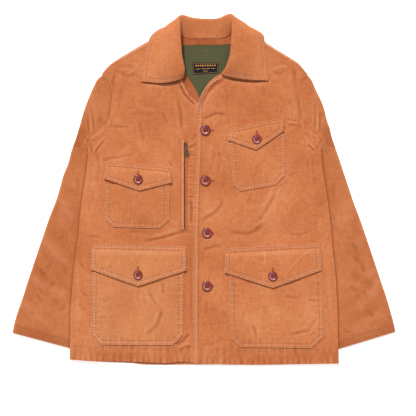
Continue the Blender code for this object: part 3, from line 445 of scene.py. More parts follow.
# %% Creases of the body
BODY_CREASES = [
    # wearer's right chest and shoulder
    ([(-189, 267), (-191, 235), (-196, 208), (-200, 183), (-207, 156)], 7.2, 1.3),
    ([(-201, 264), (-205, 237), (-208, 210), (-212, 183), (-218, 156)], 5, -1.5),
    ([(-194, 271), (-173, 270), (-158, 267), (-151, 278), (-158, 289)], 3.6, 0.7),
    ([(-184, 260), (-171, 256), (-155, 258)], 4.5, -0.6), ([(-155, 192), (-133, 183), (-108, 177)], 5.6, 0.6),
    ([(-176, 168), (-146, 171), (-112, 168)], 5.6, -0.6), ([(-158, 208), (-164, 195)], 4.5, -0.4),
    ([(-94, 174), (-81, 147)], 3.6, -0.6), ([(-58, 199), (-52, 172), (-50, 134)], 3.6, -0.8),
    ([(-65, 201), (-61, 168), (-58, 134)], 4.5, 0.4), ([(-146, 152), (-140, 129), (-133, 107)], 4.5, -0.6),
    ([(-207, 142), (-189, 141), (-164, 141)], 2.9, -0.6), ([(-212, 120), (-184, 114), (-158, 120)], 6.8, 0.4),
    ([(-189, 75), (-158, 78)], 2.9, -0.4), ([(-81, 66), (-72, 51)], 2.7, -0.6),
    # under the wearer's right arm
    ([(-259, 111), (-241, 123), (-218, 138), (-212, 154)], 3.6, 1),
    ([(-260, 105), (-254, 96), (-252, 84)], 2.7, -1), ([(-252, 82), (-241, 98), (-225, 118)], 2.9, 0.8),
    ([(-246, 82), (-236, 98), (-225, 111)], 2.7, -0.9), ([(-259, 73), (-261, 33), (-266, -1)], 4.5, 0.6),
    ([(-241, 84), (-237, 55), (-241, -1)], 4.5, -0.5), ([(-231, 84), (-232, 48)], 4, 0.4),
    ([(-225, 62), (-216, 70), (-187, 72)], 2.7, -0.7),
    # beside the zip
    ([(-32, 96), (-18, 102)], 2.7, -0.8), ([(-34, 89), (-20, 93)], 2.7, 0.6),
    ([(-27, 111), (-18, 125)], 2.9, -0.6), ([(-29, -24), (-28, -46), (-29, -78)], 3.6, -1.4),
    ([(-35, 44), (-35, -78)], 2.7, 0.5),
    # wearer's right belly and hem
    ([(-137, -117), (-110, -111), (-88, -107), (-54, -96), (-29, -93)], 3.4, -1),
    ([(-122, -109), (-88, -98), (-58, -89)], 4.5, 0.5), ([(-171, -93), (-122, -97)], 3.4, -0.5),
    ([(-266, -105), (-234, -106)], 3.4, -0.5),
    ([(-33, -125), (-30, -163), (-29, -249), (-29, -316)], 3.4, -0.6),
    ([(-65, -350), (-47, -339), (-32, -323)], 3.6, -1.3), ([(-58, -357), (-32, -343)], 3.4, 0.6),
    ([(-43, -353), (-27, -354)], 2.2, -0.8), ([(-288, -163), (-281, -226), (-286, -316)], 6.8, 0.6),
    ([(-292, -147), (-279, -163), (-268, -181)], 2.7, -0.5), ([(-279, -226), (-261, -242)], 2.9, -0.4),
    ([(-284, -255), (-266, -276)], 2.9, -0.4),
    # wearer's left chest and shoulder
    ([(191, 264), (196, 235), (200, 208), (207, 179), (212, 156)], 6.8, 1.3),
    ([(202, 273), (207, 235), (210, 208), (214, 183), (218, 152)], 5, -1.5),
    ([(155, 271), (173, 277), (189, 277)], 4, 0.8), ([(155, 261), (173, 261), (182, 267)], 4, -0.6),
    ([(7, 201), (22, 217), (45, 226)], 9, 0.8), ([(56, 217), (52, 201), (50, 183)], 5.6, -0.5),
    ([(-2, 159), (14, 166), (27, 172), (45, 170), (54, 169)], 3.6, -0.9), ([(20, 147), (34, 161)], 4, 0.5),
    ([(130, 228), (140, 213), (158, 208)], 9, -0.4), ([(160, 183), (178, 174)], 6.8, -0.5),
    ([(187, 158), (209, 154)], 2, -0.6), ([(189, 147), (216, 143)], 2, -0.6),
    ([(187, 152), (212, 148)], 2, 0.5),
    # under the wearer's left arm
    ([(261, 115), (243, 125), (225, 136), (216, 152)], 3.6, 1), ([(263, 109), (256, 98), (254, 89)], 2.7, -1),
    ([(234, 102), (243, 93), (250, 87)], 2.5, -1), ([(227, 114), (236, 105), (250, 91)], 2.9, 0.6),
    ([(256, 84), (263, 55), (270, 10)], 4.5, 0.6), ([(243, 78), (245, 44), (252, 3)], 4.5, -0.6),
    ([(232, 66), (236, 39)], 4, -0.4),
    # placket and wearer's left belly
    ([(34, 89), (36, 66), (32, 39)], 4.5, -0.6), ([(20, 111), (11, 78), (7, 44)], 6.8, 0.4),
    ([(189, 21), (171, 8), (153, -6)], 3.4, -0.4), ([(207, 39), (189, 30)], 3.4, -0.4),
    ([(164, -1), (151, -28), (137, -51), (119, -71)], 4.5, -0.7),
    ([(153, -1), (144, -19), (130, -42)], 5, 0.6),
    ([(130, -78), (117, -91), (101, -99), (81, -98), (58, -96)], 5, -0.9),
    ([(144, -64), (130, -73), (108, -84)], 3.4, 0.5), ([(108, -8), (97, -35)], 4, -0.4),
    ([(-7, -71), (4, -63), (20, -55), (38, -37), (43, -15)], 5, -0.8), ([(0, -55), (22, -44)], 4.5, 0.4),
    ([(-2, -141), (2, -134), (25, -127), (40, -129)], 3.6, -0.7), ([(-4, -163), (-2, -141)], 4, -0.5),
    ([(-2, -114), (25, -112), (50, -114)], 5.6, 0.5), ([(7, -249), (4, -282)], 4, -0.5),
    ([(38, -237), (40, -267)], 3.4, -0.3), ([(-9, -350), (18, -348), (45, -334)], 3.1, -0.4),
    ([(187, -100), (218, -102), (241, -93)], 2.9, -0.4), ([(274, -136), (284, -226), (288, -316)], 6.8, 0.5),
    ([(272, -260), (284, -276)], 3.4, -0.3),
]
# Those beside the neckline, which its layers below don't hold back.
NECKLINE_CREASES = [
    ([(45, 246), (25, 236), (7, 218), (-6, 195), (-10, 170)], 4.3, -2.4),
    ([(-56, 240), (-44, 215), (-30, 200), (-18, 189)], 3.4, -2),
    ([(-140, 241), (-99, 240), (-72, 241), (-50, 245)], 3.1, -1.5),
    ([(47, 252), (76, 246), (108, 242), (144, 245)], 3.1, -1.5),
    ([(45, 253), (20, 243), (0, 224), (-11, 201)], 2.5, 1.3), ([(-45, 237), (-34, 217), (-20, 202)], 2.2, 1),
]
print("creases of the body:", len(BODY_CREASES) + len(NECKLINE_CREASES))

# %% Creases of the sleeves
SLEEVE_CREASES = [
    # wearer's right sleeve
    ([(-212, 219), (-215, 192), (-220, 165)], 5.6, -0.6),
    ([(-254, 188), (-251, 161), (-248, 127)], 2.9, -1.1),
    ([(-255, 165), (-253, 138), (-252, 120)], 2.9, 0.7), ([(-262, 165), (-260, 138), (-259, 118)], 3.1, -1.2),
    ([(-241, 183), (-241, 138)], 4.5, 0.5), ([(-234, 161), (-225, 147)], 4.5, -0.6),
    ([(-223, 237), (-216, 224)], 2, -0.6), ([(-219, 242), (-212, 228)], 2, 0.5),
    ([(-228, 233), (-218, 219)], 2, 0.4), ([(-306, -35), (-297, -51)], 3.4, -0.5),
    ([(-331, -114), (-315, -105)], 3.4, -0.5), ([(-342, -163), (-356, -181)], 3.4, -0.5),
    ([(-369, -177), (-358, -195)], 3.4, -0.6), ([(-378, -237), (-364, -253)], 3.4, -0.6),
    ([(-346, -210), (-333, -215)], 2.9, -0.5), ([(-392, -271), (-378, -285)], 3.4, -0.5),
    ([(-324, -271), (-310, -262)], 3.1, -0.5), ([(-351, -249), (-338, -240)], 3.4, 0.4),
    ([(-286, 33), (-281, -1)], 4.5, -0.4), ([(-310, -80), (-297, -114)], 5.6, 0.4),
    ([(-369, -215), (-356, -231)], 3.4, 0.5), ([(-320, -163), (-308, -192)], 5, -0.4),
    # wearer's left sleeve
    ([(215, 219), (218, 192), (224, 165)], 5.6, -0.6), ([(250, 199), (250, 156), (249, 127)], 3.1, -1.2),
    ([(256, 174), (255, 134)], 2.9, 0.8), ([(261, 174), (261, 123)], 3.1, -1.1),
    ([(227, 161), (232, 141)], 4.5, -0.6), ([(220, 242), (216, 231)], 2, 0.5),
    ([(227, 237), (223, 224)], 2, 0.5), ([(224, 240), (219, 226)], 2, -0.5),
    ([(306, -69), (320, -87)], 3.4, -0.6), ([(324, -82), (333, -105)], 3.4, 0.4),
    ([(333, -120), (344, -136)], 3.4, -0.7), ([(340, -152), (351, -165)], 3.1, -0.6),
    ([(353, -163), (360, -186)], 3.1, -0.7), ([(360, -226), (369, -249)], 3.4, -0.6),
    ([(328, -215), (342, -231)], 3.1, -0.6), ([(369, -271), (382, -289)], 3.4, -0.6),
    ([(315, -46), (306, -64)], 3.1, -0.4), ([(346, -249), (360, -271)], 3.4, 0.5),
    ([(310, -316), (328, -323)], 3.1, -0.5), ([(290, 21), (292, -24)], 4.5, -0.4),
    ([(328, -147), (338, -177)], 3.6, 0.5),
]
print("creases of the sleeves:", len(SLEEVE_CREASES))

# %% Small ripples


def ripples(seed, count, low, high):
    """Short shallow folds in a rectangle, placed by chance from one seed: rows as for the broad folds."""
    chance = np.random.default_rng(seed)
    start = chance.uniform(low, high, (count, 2))
    angle = chance.uniform(0, math.pi, count)
    size = chance.uniform(12, 60, count)
    end = start + size[:, None] * np.column_stack([np.cos(angle), np.sin(angle)])
    width, rise = chance.uniform(4, 10, count), chance.uniform(-0.22, 0.22, count)
    return np.column_stack([start, end, width, rise]).tolist()


BODY_RIPPLES = ripples(4, 150, (-300, -390), (300, 300))
SLEEVE_RIPPLES = ripples(9, 60, (-430, -340), (-200, 240)) + ripples(12, 60, (200, -340), (430, 240))
print("small ripples:", len(BODY_RIPPLES) + len(SLEEVE_RIPPLES))

# %% Heights of the body's layers
UNDER_RIGHT = (
    [(-279, 97)] + [(row[2], row[3]) for row in SLEEVE_RIGHT[2:]] + [(-288, -430), (-440, -430), (-440, 97)]
)
UNDER_LEFT = (
    [(281, 97)] + [(row[2], row[3]) for row in SLEEVE_LEFT[2:]] + [(290, -430), (440, -430), (440, 97)]
)
UNDERLAP = [(-14, 196), (4.5, 187), (21.5, 183.5), (21.5, -400), (-24, -400), (-23, -93.5), (-16, 73)]
NECK_HOLE = LINING_RIGHT + LINING_LEFT[::-1]
BODY = ARMHOLE_RIGHT + SIDE_RIGHT[1:] + SIDE_LEFT[::-1] + ARMHOLE_LEFT[-2::-1]
HEM_LINE = HEM_RIGHT[:-1] + HEM_LEFT[-2::-1]
HEM_ROW = parallel(HEM_LINE, HEM_DEEP)
ZIP_SEAM = [(-34, 100), (-34, -90)]


def floor_rise(x, y):
    """The back's underside: on the table, and up over the sleeves where they pass below it."""
    hidden = over(x, y, UNDER_RIGHT, 22, ARMPIT_SPREAD) + over(x, y, UNDER_LEFT, 22, ARMPIT_SPREAD)
    return (SLEEVE_LOFT + 0.5) * hidden


def lie(x, y, side):
    """How high a front's underside lies without its creases: the layers below it, some air, broad folds."""
    from_side = np.minimum(distance(x, y, SIDE_RIGHT), distance(x, y, SIDE_LEFT))
    on_neck, on_underlap = over(x, y, NECK_HOLE, 5, 26), over(x, y, UNDERLAP, 12, 55)
    air = smooth(from_side / 50) + 0.8 * smooth((from_side - 40) / 90) * (1 - on_neck) * (1 - on_underlap)
    still = 1 - np.maximum(over(x, y, UNDERLAP, 5, 30), on_neck)
    height = floor_rise(x, y) + CANVAS + SEAM + air + (THIN + SEAM) * on_neck
    height = height + folds(x, y, BODY_FOLDS) * still * smooth(from_side / 30)
    if side == "left":
        height = height + (CANVAS + SEAM + 0.35) * on_underlap
    return height


def creased(x, y):
    """Creases, ripples and the hem's puckers, held back at the neck and where the side's edge is folded."""
    from_side = np.minimum(distance(x, y, SIDE_RIGHT), distance(x, y, SIDE_LEFT))
    free = smooth((from_side + 7) / 24) * (1 - 0.7 * over(x, y, NECK_HOLE, 3, 20))
    gathers = creases(x, y, BODY_CREASES) + folds(x, y, BODY_RIPPLES)
    gathers += 0.55 * np.clip(puckers(x, y, HEM_LINE, 13, 12), -0.6, 1)
    gathers += 0.3 * np.clip(puckers(x, y, HEM_ROW, 16, 9, 1.0), -1, 1)
    gathers -= 0.2 * bell(distance(x, y, HEM_ROW), 3.2)
    gathers += 0.5 * np.clip(puckers(x, y, HEM_LINE, 31, 34, 2.0), -0.5, 1)
    gathers += 0.65 * np.clip(puckers(x, y, ZIP_SEAM, 8.5, 11, 1.0), -1, 1) * smooth((x + 36) / 3)
    return free * gathers + creases(x, y, NECKLINE_CREASES)


def front_under(x, y, side):
    """A front's underside: how it lies, with its creases."""
    return lie(x, y, side) + creased(x, y)


def front_over(x, y, side):
    """A front's upper face. Where its edge is turned in there are more layers, and so at the hem."""
    turned_hem = 0.35 * smooth(1 - (distance(x, y, HEM_LINE) - HEM_DEEP) / 3)
    if side == "left":
        thick = 0.8 * smooth(1 - (distance(x, y, NECK_LEFT[4:] + EDGE_LEFT[1:]) - 3) / 9)
    else:
        thick = 0.6 * smooth(1 - (distance(x, y, NECK_RIGHT[4:9]) - 3) / 7)
    return front_under(x, y, side) + CANVAS + thick + turned_hem


height = front_over(np.array([100.0]), np.array([0.0]), "left")
print("the left front's face is", round(float(height[0]), 2), "mm up at x = 100")

# %% [markdown]
# ## From numbers to meshes
#
# A cloth piece is two grids of points, its lower and its upper face, joined by a rim that bulges a little,
# as a turned edge does. Each point also carries numbers that the material will need: how far it is from the
# nearest finished edge and from the hem, how far along that edge, and how far it stands above or below its
# neighbours, which paints shade into hollows and light onto ridges. Its UV map holds plan millimetres, so
# that weave has the same scale on every piece.

# %% Mesh helpers
made = {}
FAR = 99.0  # millimetres from an edge where there is none


def grid_faces(number):
    """Quads between neighbouring rows and columns of a grid of point numbers."""
    corners = [number[:-1, :-1], number[:-1, 1:], number[1:, 1:], number[1:, :-1]]
    return np.stack(corners, axis=-1).reshape(-1, 4)


def strip(one, other):
    """Quads between two lines of point numbers."""
    return np.stack([one[:-1], one[1:], other[1:], other[:-1]], axis=-1)


def surface(name, points, faces, material, body="jacket", uv=None, numbers=None, crease=40):
    """An object from arrays in millimetres: points, quads, UV places and named numbers at the points."""
    mesh = bpy.data.meshes.new(name)
    faces = faces.tolist() if isinstance(faces, np.ndarray) else faces
    mesh.from_pydata((np.asarray(points, float) * MM).tolist(), [], faces)
    work = bmesh.new()
    work.from_mesh(mesh)
    bmesh.ops.recalc_face_normals(work, faces=work.faces)
    work.to_mesh(mesh)
    work.free()
    mesh.shade_smooth()
    mesh.set_sharp_from_angle(angle=math.radians(crease))
    if uv is not None:
        corner = np.empty(len(mesh.loops), int)
        mesh.loops.foreach_get("vertex_index", corner)
        layer = mesh.uv_layers.new(name="cloth")
        layer.data.foreach_set("uv", (np.asarray(uv, float)[corner] * MM).astype(np.float32).ravel())
    for title, values in (numbers or {}).items():
        attribute = mesh.attributes.new(title, "FLOAT", "POINT")
        attribute.data.foreach_set("value", np.asarray(values, np.float32).ravel())
    mesh.materials.append(material)
    piece = bpy.data.objects.new(name, mesh)
    bpy.context.scene.collection.objects.link(piece)
    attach(piece, body)
    made[name] = piece
    return piece


print("a grid of 3 by 3 points has", len(grid_faces(np.arange(9).reshape(3, 3))), "quads")

# %% Two faces and a rim
RIM_BULGE = 0.22  # how far the rim stands out, as a share of the wall


def rim_of(number):
    """The border of a grid of point numbers, once round."""
    return np.concatenate([number[0, :-1], number[:-1, -1], number[-1, :0:-1], number[::-1, 0]])


def between(low, high):
    """Points and faces of a wall between two grids, with a bulging rim, and the rim's point numbers."""
    rows, columns = low.shape[:2]
    lower = np.arange(rows * columns).reshape(rows, columns)
    upper = lower + rows * columns
    middle = 0.5 * (low + high)
    border = rim_of(lower)[:-1]
    edge = middle.reshape(-1, 3)[border]
    forward = np.roll(edge, -1, axis=0) - np.roll(edge, 1, axis=0)
    out = np.cross(forward, (high - low).reshape(-1, 3)[border])
    out = out / np.maximum(np.linalg.norm(out, axis=1, keepdims=True), 1e-9)
    thick = np.linalg.norm((high - low).reshape(-1, 3)[border], axis=1, keepdims=True)
    centre = middle.reshape(-1, 3).mean(axis=0)
    sign = np.sign(np.mean(np.sum(out * (edge - centre), axis=1)))
    bulge = edge + RIM_BULGE * sign * thick * out
    ring = np.arange(len(border)) + 2 * rows * columns
    ring = np.append(ring, ring[0])
    loop = np.append(border, border[0])
    faces = np.vstack(
        [grid_faces(lower), grid_faces(upper), strip(loop, ring), strip(ring, loop + rows * columns)]
    )
    points = np.concatenate([low.reshape(-1, 3), high.reshape(-1, 3), bulge])
    return points, faces, border


def spread(values, border):
    """A grid's values at the points of a wall: at both faces and at the rim."""
    values = values.reshape(-1, *values.shape[2:])
    return np.concatenate([values, values, values[border]])


def wall(name, low, high, material, uv, numbers):
    """A cloth piece from its two faces, with its UV places and its numbers as grids."""
    points, faces, border = between(low, high)
    numbers = {title: spread(values, border) for title, values in numbers.items()}
    return surface(name, points, faces, material, uv=spread(uv, border), numbers=numbers)


print("a grid of 3 by 3 points has", len(rim_of(np.arange(9).reshape(3, 3))) - 1, "points on its rim")

# %% Cloth pieces


def relief(height, cells=4):
    """How far each point stands above the mean of its neighbours: ridges above 0, hollows below."""
    kernel = np.hanning(2 * cells + 3)[1:-1]
    kernel = kernel / kernel.sum()
    mean = height
    for axis in (0, 1):
        margins = [(cells, cells) if a == axis else (0, 0) for a in (0, 1)]
        padded = np.pad(mean, margins, mode="edge")
        mean = np.apply_along_axis(np.convolve, axis, padded, kernel, mode="valid")
    return height - mean


def area_of(grid):
    """The area of a grid surface in square metres: half the cross product of each quad's diagonals."""
    one = grid[1:, 1:] - grid[:-1, :-1]
    other = grid[1:, :-1] - grid[:-1, 1:]
    return float(0.5 * np.linalg.norm(np.cross(one, other), axis=-1).sum()) * MM * MM


def cloth(name, low, high, material, edges, hem=None):
    """A cloth piece between two grids. Edges are the finished lines that the dye wears along and where a
    highlight is painted.
    """
    x, y = low[..., 0], low[..., 1]
    away, run, from_hem = np.full(x.shape, FAR), np.zeros(x.shape), np.full(x.shape, FAR)
    for line in edges:
        near, at = nearest(x, y, line)
        run, away = np.where(near < away, at, run), np.minimum(near, away)
    if hem is not None:
        from_hem, at = nearest(x, y, hem)
        run = np.where(from_hem < away, at, run)
    # Painted light and shade: this number darkens the upper face's hollows and the hem's row of stitches, and
    # lightens its ridges.
    shade_and_dye_relief = relief(high[..., 2]) - 0.14 * smooth(1 - (from_hem - HEM_DEEP) / 3)
    numbers = {"edge_mm": away, "run_mm": run, "shade_and_dye_mm": shade_and_dye_relief, "hem_mm": from_hem}
    return wall(name, low, high, material, low[..., :2], numbers)


def declare(node):
    """Hides the solid that a cloth piece stands in for."""
    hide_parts(node)


square = np.dstack([*np.meshgrid([0.0, 1000.0], [0.0, 1000.0]), np.zeros((2, 2))])
print("a square of one metre measures", area_of(square), "square metres")

# %% [markdown]
# ## Dye, weave and wear
#
# The canvas is cotton, sewn first and dyed as a whole garment, then washed. The dye takes unevenly, so the
# colour drifts over a hand's breadth. The turned edges rub pale in the wash, most where the thread has
# drawn them into little ropes, and that pale edge is also a painted highlight. The cloth's hollows, its
# puckers' hollows and the furrows of the stitching are painted darker, as painted shade, and its ridges
# paler, as painted light. Colours are the usual hex values, turned to the linear light Blender needs.

# %% Colour and nodes


def linear(code):
    """A hex colour as linear light: each channel over 12.92, or its power of 2.4 above the toe."""
    channels = [int(code[k : k + 2], 16) / 255 for k in (1, 3, 5)]
    return (*[c / 12.92 if c <= 0.04045 else ((c + 0.055) / 1.055) ** 2.4 for c in channels], 1.0)


def fresh(name):
    """A new node material, its tree and its Principled shader."""
    material = bpy.data.materials.new(name)
    material.use_nodes = True
    return material, material.node_tree, material.node_tree.nodes["Principled BSDF"]


def fill(tree, node, inputs):
    """A node's inputs: a number or a colour is set, and another node's output is linked."""
    for socket, value in inputs.items():
        if isinstance(value, bpy.types.NodeSocket):
            tree.links.new(value, node.inputs[socket])
        else:
            node.inputs[socket].default_value = value


def add(tree, kind, inputs=None, **settings):
    """One shader node with its settings and its inputs."""
    node = tree.nodes.new("ShaderNode" + kind)
    for title, value in settings.items():
        setattr(node, title, value)
    fill(tree, node, inputs or {})
    return node


def maths(tree, operation, *values):
    """One step of arithmetic on numbers and other nodes' outputs."""
    return add(tree, "Math", dict(enumerate(values)), operation=operation).outputs[0]


def ramp(tree, value, start, end, top=1.0, form="SMOOTHSTEP"):
    """0 at the start, the top at the end, and smooth or linear between them."""
    span = {"Value": value, "From Min": start, "From Max": end, "To Min": 0.0, "To Max": top}
    return add(tree, "MapRange", span, interpolation_type=form).outputs[0]


def blend(tree, share, colour, shade):
    """A colour mixed with a share of a shade."""
    return add(tree, "Mix", {"Factor": share, 6: colour, 7: shade}, data_type="RGBA").outputs[2]


def noise(tree, place, scale, detail, roughness=0.5):
    """Fractal noise: the scale is its waves a unit of length."""
    look = {"Vector": place, "Scale": scale, "Detail": detail, "Roughness": roughness}
    return add(tree, "TexNoise", look).outputs["Fac"]


def carried(tree, title):
    """A number that the mesh carries at its points."""
    return add(tree, "Attribute", attribute_name=title, attribute_type="GEOMETRY").outputs["Fac"]


def off_by(tree, value, middle):
    """How far a value is from a middle one, either way."""
    return maths(tree, "ABSOLUTE", maths(tree, "SUBTRACT", value, middle))


def shaded(tree, value, stops):
    """A colour for each value: the first and the last shade at their places, others between them."""
    node = add(tree, "ValToRGB", {"Fac": value})
    elements = node.color_ramp.elements
    for element, (place, shade) in zip(elements, (stops[0], stops[-1])):
        element.position, element.color = place, shade
    for place, shade in stops[1:-1]:
        elements.new(place).color = shade
    return node.outputs["Color"]


print("canvas in linear light:", [round(c, 3) for c in linear("#D08054")])

# %% [markdown]
# The canvas material mixes five things. Two noises in object space give the drift and the mottle. A third,
# fine one is the heather of single threads, drawn at 2 mm, coarser than the real 0.6 mm, so that it shows.
# Two more are stretched along warp and weft: the slubs, where a thread was spun thicker.
#
# The edge numbers give the pale rope along each turned edge, whose rubbed edge is also a painted highlight,
# and the furrow of each row of stitches, with painted shade in it. The weave itself is a product of two
# sines, warp and weft, in the UV's millimetres.

# %% Cotton canvas, dyed as a garment
# Of these shades the last two are painted light and shade: the darker one for the cloth's hollows, the paler
# one for its ridges.
DYE_AND_PAINTED_LIGHT = "#B76439", "#C97648", "#D98A5C", "#964C28", "#E8A27A"  # deep, middle, pale, in hollows, on ridges
# The pale of a rubbed edge, which is also a painted highlight, the pale rope between two rows, and the
# painted shade in a row's furrow.
RUBBED_AND_HIGHLIGHT, ROPED, FURROW_SHADE = "#EBA57B", "#E8A27A", "#8F4A28"
WEAVE, RIPPLE = 1.6, 6.6  # millimetres from thread to thread, and from one pucker of a seam to the next


def cotton_canvas(
    name, tone, rows=(), far_row=None, wear=0.75, band=15.0, drawn_in=0.3, rope=0.26, calm=0.12
):
    """Garment-dyed cotton canvas. Lengths are in millimetres.

    tone: factors on the dye's red, green and blue
    rows, far_row: the stitching's distances from the turned edges, and from the hem or cuff
    wear: how much of the edge is rubbed pale, which also paints a highlight along it
    band, drawn_in: how far in the edge's ripples reach, and how strongly their painted light and shade shows
    rope: how pale the cloth is between two rows
    calm: how far the dye's noise goes between its deep and its pale shade
    """
    deep, middle, pale, hollow_shade, ridge = (
        (*[k * c for k, c in zip(tone, linear(code))], 1.0) for code in DYE_AND_PAINTED_LIGHT
    )
    material, tree, shader = fresh(name)
    place = add(tree, "TexCoord").outputs["Object"]
    flat = add(tree, "UVMap", uv_map="cloth").outputs[0]

    # The dye's tone: broad and small clouds, heather, and streaks along both threads.
    heather = noise(tree, place, 420.0, 2.0, 0.7)
    parts = [(noise(tree, place, 9.0, 2.0), 0.32), (noise(tree, place, 110.0, 4.0, 0.65), 0.24)]
    parts.append((heather, 0.12))
    for stretch in ((1.0, 0.07, 1.0), (0.07, 1.0, 1.0)):
        lengthened = add(tree, "Mapping", {"Vector": flat, "Scale": stretch}).outputs[0]
        parts.append((noise(tree, lengthened, 480.0, 2.0, 0.6), 0.16))
    tones = 0.0
    for part, weight in parts:
        tones = maths(tree, "MULTIPLY_ADD", part, weight, tones)
    dye = shaded(tree, tones, [(0.5 - calm, deep), (0.5, middle), (0.5 + calm, pale)])

    # Ripples run across an edge's stitching and across the hem's or the cuff's row.
    edge, run = carried(tree, "edge_mm"), carried(tree, "run_mm")
    beside = add(tree, "CombineXYZ", {"X": run, "Y": edge}).outputs[0]
    swing = maths(tree, "MULTIPLY", noise(tree, beside, 0.13, 3.0, 0.6), 14.0)
    turn = maths(tree, "MULTIPLY_ADD", run, 2 * math.pi / RIPPLE, swing)
    close = ramp(tree, edge, band, 7.0)
    gaps = [off_by(tree, edge, row) for row in rows]
    if far_row is not None:
        gaps.append(off_by(tree, carried(tree, "hem_mm"), far_row))
        near_row = ramp(tree, gaps[-1], 8.0, 2.0)
        close = maths(tree, "MAXIMUM", close, near_row)
    ripple = maths(tree, "MULTIPLY", maths(tree, "SINE", turn), close)

    # The turned edge is rubbed pale, which also paints its highlight, and the cloth between two rows is
    # paler.
    uneven_wear = maths(tree, "MULTIPLY_ADD", ripple, 0.3, 0.6)
    rubbed = maths(tree, "MULTIPLY", ramp(tree, edge, 3.6, 0.4), uneven_wear)
    colour = blend(tree, maths(tree, "MULTIPLY", rubbed, wear), dye, linear(RUBBED_AND_HIGHLIGHT))
    # Painted light and shade: each pucker's hollow and each hollow of the relief take the darker shade, their
    # ridges the paler one.
    light_and_shade_tints = [(carried(tree, "shade_and_dye_mm"), -0.5, 0.58, hollow_shade), (carried(tree, "shade_and_dye_mm"), 0.5, 0.32, ridge)]
    if gaps:
        light_and_shade_tints = [(ripple, -1.0, drawn_in, hollow_shade), (ripple, 1.0, drawn_in, ridge)] + light_and_shade_tints
    for value, full, share, shade in light_and_shade_tints:
        colour = blend(tree, ramp(tree, value, 0.0, full, share, "LINEAR"), colour, shade)
    if len(rows) > 1:
        from_rope = off_by(tree, edge, sum(rows) / 2)
        colour = blend(tree, ramp(tree, from_rope, 4.2, 1.8, rope), colour, linear(ROPED))

    # Warp and weft are two sines. Each row of stitches is drawn into a furrow of the bump, with painted shade
    # in it.
    split = add(tree, "SeparateXYZ", {"Vector": flat}).outputs
    warp, weft = (
        maths(tree, "SINE", maths(tree, "MULTIPLY", split[axis], 2000 * math.pi / WEAVE)) for axis in "XY"
    )
    height = maths(tree, "MULTIPLY_ADD", heather, 1.6, maths(tree, "MULTIPLY", warp, weft))
    if gaps:
        furrow = 0.0
        for gap in gaps:
            furrow = maths(tree, "MAXIMUM", furrow, ramp(tree, gap, 1.7, 0.2))
        if far_row is not None:  # the hem's row is half as deep as the others
            furrow = maths(tree, "MULTIPLY", furrow, maths(tree, "MULTIPLY_ADD", near_row, -0.5, 1.0))
        # Painted shade in the furrow, deepest in each pucker's hollow.
        dots = maths(tree, "MULTIPLY_ADD", ripple, -0.25, 0.5)
        colour = blend(tree, maths(tree, "MULTIPLY", furrow, dots), colour, linear(FURROW_SHADE))
        height = maths(tree, "MULTIPLY_ADD", furrow, -3.0, height)
    bump = add(tree, "Bump", {"Height": height, "Strength": 0.5, "Distance": 0.14 * MM})
    fill(tree, shader, {"Base Color": colour, "Normal": bump.outputs[0], "Roughness": 0.9, "IOR": 1.46})
    fill(tree, shader, {"Specular IOR Level": 0.12, "Sheen Weight": 0.06, "Sheen Roughness": 0.5})
    return material


plain_canvas = cotton_canvas("cotton canvas of the body", (0.97, 0.98, 0.98), far_row=HEM_DEEP, drawn_in=0.14)
front_canvas = cotton_canvas(
    "cotton canvas of the upper front", (0.97, 0.97, 0.97), TWO_ROWS, far_row=HEM_DEEP, drawn_in=0.12
)
sleeve_canvas = cotton_canvas(
    "cotton canvas of the sleeves", (0.89, 0.88, 0.87), far_row=CUFF_ROW, wear=0.5, band=11.0, drawn_in=0.1,
    calm=0.15
)
collar_canvas = cotton_canvas(
    "cotton canvas of the collar", (1.04, 1.08, 1.1), TWO_ROWS, wear=0.5, drawn_in=0.14, rope=0.1, calm=0.14
)
sewn_canvas = cotton_canvas(
    "cotton canvas, two rows of stitches", (1.0, 1.04, 1.06), TWO_ROWS, wear=0.6, drawn_in=0.13, rope=0.13,
    calm=0.13
)
pale_canvas = cotton_canvas(
    "cotton canvas, faded", (1.04, 1.19, 1.26), TWO_ROWS, wear=0.5, band=18.0, drawn_in=0.2, rope=0.2,
    calm=0.15
)
welt_canvas = cotton_canvas("cotton canvas of the welt", (1.0, 1.0, 1.0), wear=1.5)
facing_canvas = cotton_canvas("cotton canvas of the facing", (0.74, 0.66, 0.62), wear=0.3)
square_canvas = cotton_canvas("cotton canvas, doubled square", (0.64, 0.55, 0.5), wear=0.0)
tape_canvas = cotton_canvas("zip tape, dyed with the garment", (0.84, 0.76, 0.7), wear=0.2)
loop_canvas = cotton_canvas("cotton canvas of the loop", (1.08, 1.12, 1.12), wear=0.0)
print("canvas materials:", plain_canvas.name, "and", sewn_canvas.name)

# %% [markdown]
# The smaller stuffs are simpler. The lining is olive cotton poplin. The label is navy damask with a
# border and a row of chevrons in amber thread. The thread of the seams is cotton, dyed with the garment.
# The buttons are cast resin, polished, with a pale ring on each lip as a painted highlight, brightest on one
# side. The slider and its tab are zinc, plated and darkened to a bronze.

# %% Lining, label, thread, resin and metal
SOCKETS = dict(metallic="Metallic", sheen="Sheen Weight", coat="Coat Weight", gloss="Specular IOR Level")


def plain_stuff(name, one, other, scale, roughness, bump_mm, lip=None, **look):
    """One noise drives both a drift between two shades and a slight relief of the given depth."""
    material, tree, shader = fresh(name)
    drift = noise(tree, add(tree, "TexCoord").outputs["Object"], scale, 4.0)
    colour = shaded(tree, drift, [(0.38, linear(one)), (0.62, linear(other))])
    # A lip number, where given, blends in a pale painted highlight.
    if lip is not None:
        colour = blend(tree, carried(tree, "lip"), colour, linear(lip))
    bump = add(tree, "Bump", {"Height": drift, "Strength": 0.6, "Distance": bump_mm * MM})
    fill(tree, shader, {"Base Color": colour, "Normal": bump.outputs[0], "Roughness": roughness})
    fill(tree, shader, {SOCKETS[title]: value for title, value in look.items()})
    return material


